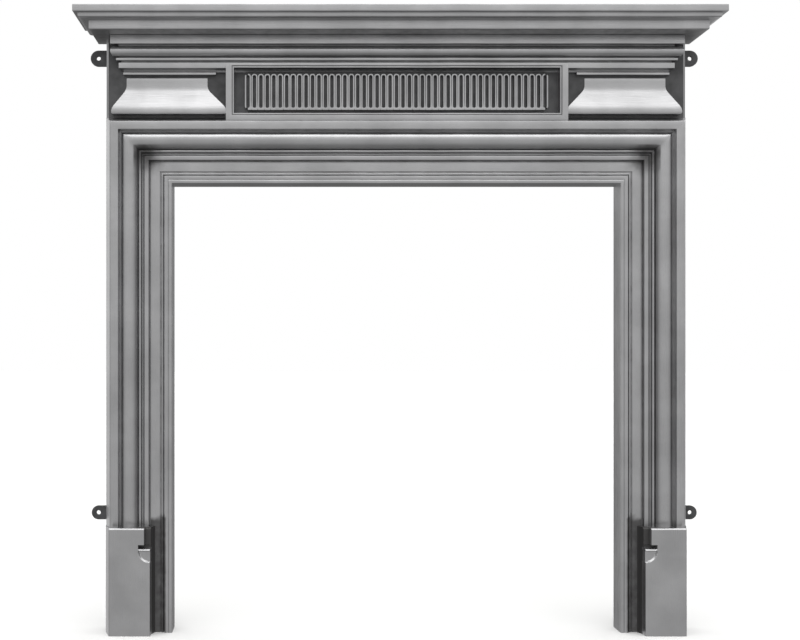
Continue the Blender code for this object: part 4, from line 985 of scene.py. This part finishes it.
def cast_skin(values):
    """Grey cast iron as it left the sand: a dark, finely pebbled skin with a dull shine."""
    material = bpy.data.materials.new("as_cast_grey_iron")
    material.use_nodes = True
    tree = material.node_tree
    shader = tree.nodes["Principled BSDF"]
    shader.inputs["Metallic"].default_value = 0.85
    where = add(tree, "ShaderNodeTexCoord").outputs["Object"]
    # Moulding sand about 0.9 mm across after the melt has run over it
    grain = add(tree, "ShaderNodeTexNoise", {"Vector": where, "Scale": 1 / 0.0018, "Detail": 3.0}).outputs[0]
    clouds = add(tree, "ShaderNodeTexNoise", {"Vector": where, "Scale": 1 / 0.03, "Detail": 3.0}).outputs[0]
    skin = (*values.cast_skin, 1)
    darker = (*[part * 0.6 for part in values.cast_skin], 1)
    tree.links.new(mixed_colour(tree, ranged(tree, clouds, 0.35, 0.65), darker, skin), shader.inputs["Base Color"])
    rough = ranged(tree, clouds, 0.3, 0.7, values.skin_roughness - 0.06, values.skin_roughness + 0.08)
    tree.links.new(rough, shader.inputs["Roughness"])
    bump = add(tree, "ShaderNodeBump", {"Height": grain, "Strength": 0.5, "Distance": 0.0005})
    tree.links.new(bump.outputs[0], shader.inputs["Normal"])
    return material


def iron(scene):
    """Both finishes of the iron, made once."""
    makers = {"buffed": ("buffed_grey_cast_iron", buffed_iron), "skin": ("as_cast_grey_iron", cast_skin)}
    return {
        key: bpy.data.materials.get(name) or maker(scene.surround_finish)
        for key, (name, maker) in makers.items()
    }


def make_floor(scene):
    """Pale floor, which the iron doesn't mirror, so that the undersides stay as dark as in a dim room."""
    size = 30.0
    mesh = bpy.data.meshes.new("floor")
    mesh.from_pydata([(-size, -size, 0), (size, -size, 0), (size, size, 0), (-size, size, 0)], [], [(0, 1, 2, 3)])
    floor = bpy.data.objects.new("floor", mesh)
    scene.collection.objects.link(floor)
    floor.visible_glossy = False
    floor.visible_diffuse = False
    material = bpy.data.materials.new("pale_painted_floor")
    material.use_nodes = True
    shader = material.node_tree.nodes["Principled BSDF"]
    shader.inputs["Base Color"].default_value = (*scene.surround_studio.floor, 1)
    shader.inputs["Roughness"].default_value = 0.9
    shader.inputs["Specular IOR Level"].default_value = 0.0
    mesh.materials.append(material)


def make_light(scene):
    """Soft studio light as a world: a pale wall in front, a bright ceiling, dim sides and a dim floor."""
    v = scene.surround_studio
    world = bpy.data.worlds.new("studio")
    scene.world = world
    world.use_nodes = True
    tree = world.node_tree
    background = tree.nodes["Background"]
    direction = add(tree, "ShaderNodeTexCoord").outputs["Generated"]
    split = add(tree, "ShaderNodeSeparateXYZ", {"Vector": direction})

    def eased(value, low, high, to_low, to_high):
        inputs = {"Value": value, "From Min": low, "From Max": high, "To Min": to_low, "To Max": to_high}
        return add(tree, "ShaderNodeMapRange", inputs, interpolation_type="SMOOTHSTEP").outputs[0]

    level_way = add(tree, "ShaderNodeVectorMath", {0: direction, 1: (1, 1, 0)}, operation="MULTIPLY")
    heading = add(tree, "ShaderNodeVectorMath", {0: level_way.outputs[0]}, operation="NORMALIZE")
    astern = add(tree, "ShaderNodeSeparateXYZ", {"Vector": heading.outputs[0]}).outputs["Y"]
    level = eased(astern, -1.0, 0.1, v.front_light, v.side_light)
    behind = add(tree, "ShaderNodeMix", {0: eased(astern, 0.3, 0.75, 0.0, 1.0), 2: level, 3: v.back_light})
    middle = eased(astern, 0.86, 0.95, 0.0, 1.0)
    behind = add(tree, "ShaderNodeMix", {0: middle, 2: behind.outputs[0], 3: v.middle_light})
    rise = eased(split.outputs["Z"], -0.1, 0.35, 1.0, 1.45)
    lifted = add(tree, "ShaderNodeMath", {0: behind.outputs[0], 1: rise}, operation="MULTIPLY")
    ceiling = eased(split.outputs["Z"], 0.5, 0.68, 0.0, 1.0)
    overhead = eased(split.outputs["Y"], 0.05, 0.4, v.top_light, v.rear_top_light)
    upper = add(tree, "ShaderNodeMix", {0: ceiling, 2: lifted.outputs[0], 3: overhead})
    ground = eased(split.outputs["Z"], -1.0, -0.3, 0.0, 1.0)
    whole = add(tree, "ShaderNodeMix", {0: ground, 2: v.low_light, 3: upper.outputs[0]})
    seen = add(tree, "ShaderNodeLightPath").outputs["Is Camera Ray"]
    strength = add(tree, "ShaderNodeMix", {0: seen, 2: whole.outputs[0], 3: 1.0})
    background.inputs["Color"].default_value = (1, 1, 1, 1)
    tree.links.new(strength.outputs[0], background.inputs["Strength"])


def make_camera(scene):
    """Camera square to the front, left of the middle and a little below half height."""
    v = scene.surround_studio
    camera = bpy.data.objects.new("camera", bpy.data.cameras.new("camera"))
    scene.collection.objects.link(camera)
    camera.location = (v.eye_side, WALL_Y - v.distance, v.eye_height)
    camera.rotation_euler = (math.radians(90), 0, 0)
    camera.data.sensor_width = SENSOR_WIDTH
    camera.data.lens = SENSOR_WIDTH * FOCAL_PIXELS / PHOTO_WIDTH
    camera.data.shift_x = (PHOTO_WIDTH / 2 - CENTRE_X) / PHOTO_WIDTH
    camera.data.shift_y = (CENTRE_Y - PHOTO_HEIGHT / 2) / PHOTO_WIDTH
    scene.camera = camera
    scene.view_settings.view_transform = "Standard"


class SURROUND_OT_stage(bpy.types.Operator):
    """Lay the floor, light the studio and set the camera"""
    bl_idname = "surround.stage"
    bl_label = "Stage"

    def execute(self, context):
        make_floor(context.scene)
        make_light(context.scene)
        make_camera(context.scene)
        return {"FINISHED"}


class SURROUND_OT_architrave(bpy.types.Operator):
    """Make the legs and the lintel"""
    bl_idname = "surround.architrave"
    bl_label = "Architrave"

    def execute(self, context):
        make_architrave(context.scene, iron(context.scene))
        return {"FINISHED"}


class SURROUND_OT_frieze(bpy.types.Operator):
    """Make the ground plate, the mouldings and the end blocks"""
    bl_idname = "surround.frieze"
    bl_label = "Frieze and End Blocks"

    def execute(self, context):
        materials = iron(context.scene)
        make_ground_plate(context.scene, materials)
        make_entablature(context.scene, materials)
        make_end_blocks(context.scene, materials)
        return {"FINISHED"}


class SURROUND_OT_panel(bpy.types.Operator):
    """Make the fluted panel"""
    bl_idname = "surround.panel"
    bl_label = "Fluted Panel"

    def execute(self, context):
        materials = iron(context.scene)
        make_panel(context.scene, materials)
        make_lattice(context.scene, materials)
        return {"FINISHED"}


class SURROUND_OT_plinths(bpy.types.Operator):
    """Make the plinth blocks with their carved stops"""
    bl_idname = "surround.plinths"
    bl_label = "Plinth Blocks"

    def execute(self, context):
        make_plinths(context.scene, iron(context.scene))
        return {"FINISHED"}


class SURROUND_OT_lugs(bpy.types.Operator):
    """Make the four wall lugs"""
    bl_idname = "surround.lugs"
    bl_label = "Wall Lugs"

    def execute(self, context):
        make_lugs(context.scene, iron(context.scene))
        return {"FINISHED"}


class SURROUND_OT_shelf(bpy.types.Operator):
    """Make the mantel shelf"""
    bl_idname = "surround.shelf"
    bl_label = "Mantel Shelf"

    def execute(self, context):
        make_shelf(context.scene, iron(context.scene))
        return {"FINISHED"}


OPERATORS = (
    SURROUND_OT_stage, SURROUND_OT_architrave, SURROUND_OT_frieze, SURROUND_OT_panel,
    SURROUND_OT_plinths, SURROUND_OT_lugs, SURROUND_OT_shelf,
)


class SURROUND_PT_sidebar(bpy.types.Panel):
    """Buttons for the pieces and the sizes behind them"""
    bl_label = "Fireplace Surround"
    bl_space_type = "VIEW_3D"
    bl_region_type = "UI"
    bl_category = "Surround"

    def draw(self, context):
        for operator in OPERATORS:
            self.layout.operator(operator.bl_idname)
        for name, group in GROUPS.items():
            box = self.layout.box()
            box.label(text=group.__doc__.rstrip("."))
            for size in group.__annotations__:
                box.prop(getattr(context.scene, name), size)


def register():
    """Register the classes and hang the sizes on the scene."""
    for cls in (*GROUPS.values(), *OPERATORS, SURROUND_PT_sidebar):
        bpy.utils.register_class(cls)
    for name, group in GROUPS.items():
        setattr(bpy.types.Scene, name, bpy.props.PointerProperty(type=group))


def unregister():
    """Take the sizes and the classes away again."""
    for name in GROUPS:
        delattr(bpy.types.Scene, name)
    for cls in reversed((*GROUPS.values(), *OPERATORS, SURROUND_PT_sidebar)):
        bpy.utils.unregister_class(cls)


def main():
    """Register the add-on and make every piece."""
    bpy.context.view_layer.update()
    register()
    bpy.ops.surround.stage()
    bpy.ops.surround.architrave()
    bpy.ops.surround.frieze()
    bpy.ops.surround.panel()
    bpy.ops.surround.plinths()
    bpy.ops.surround.lugs()
    bpy.ops.surround.shelf()


if __name__ == "__main__":
    main()
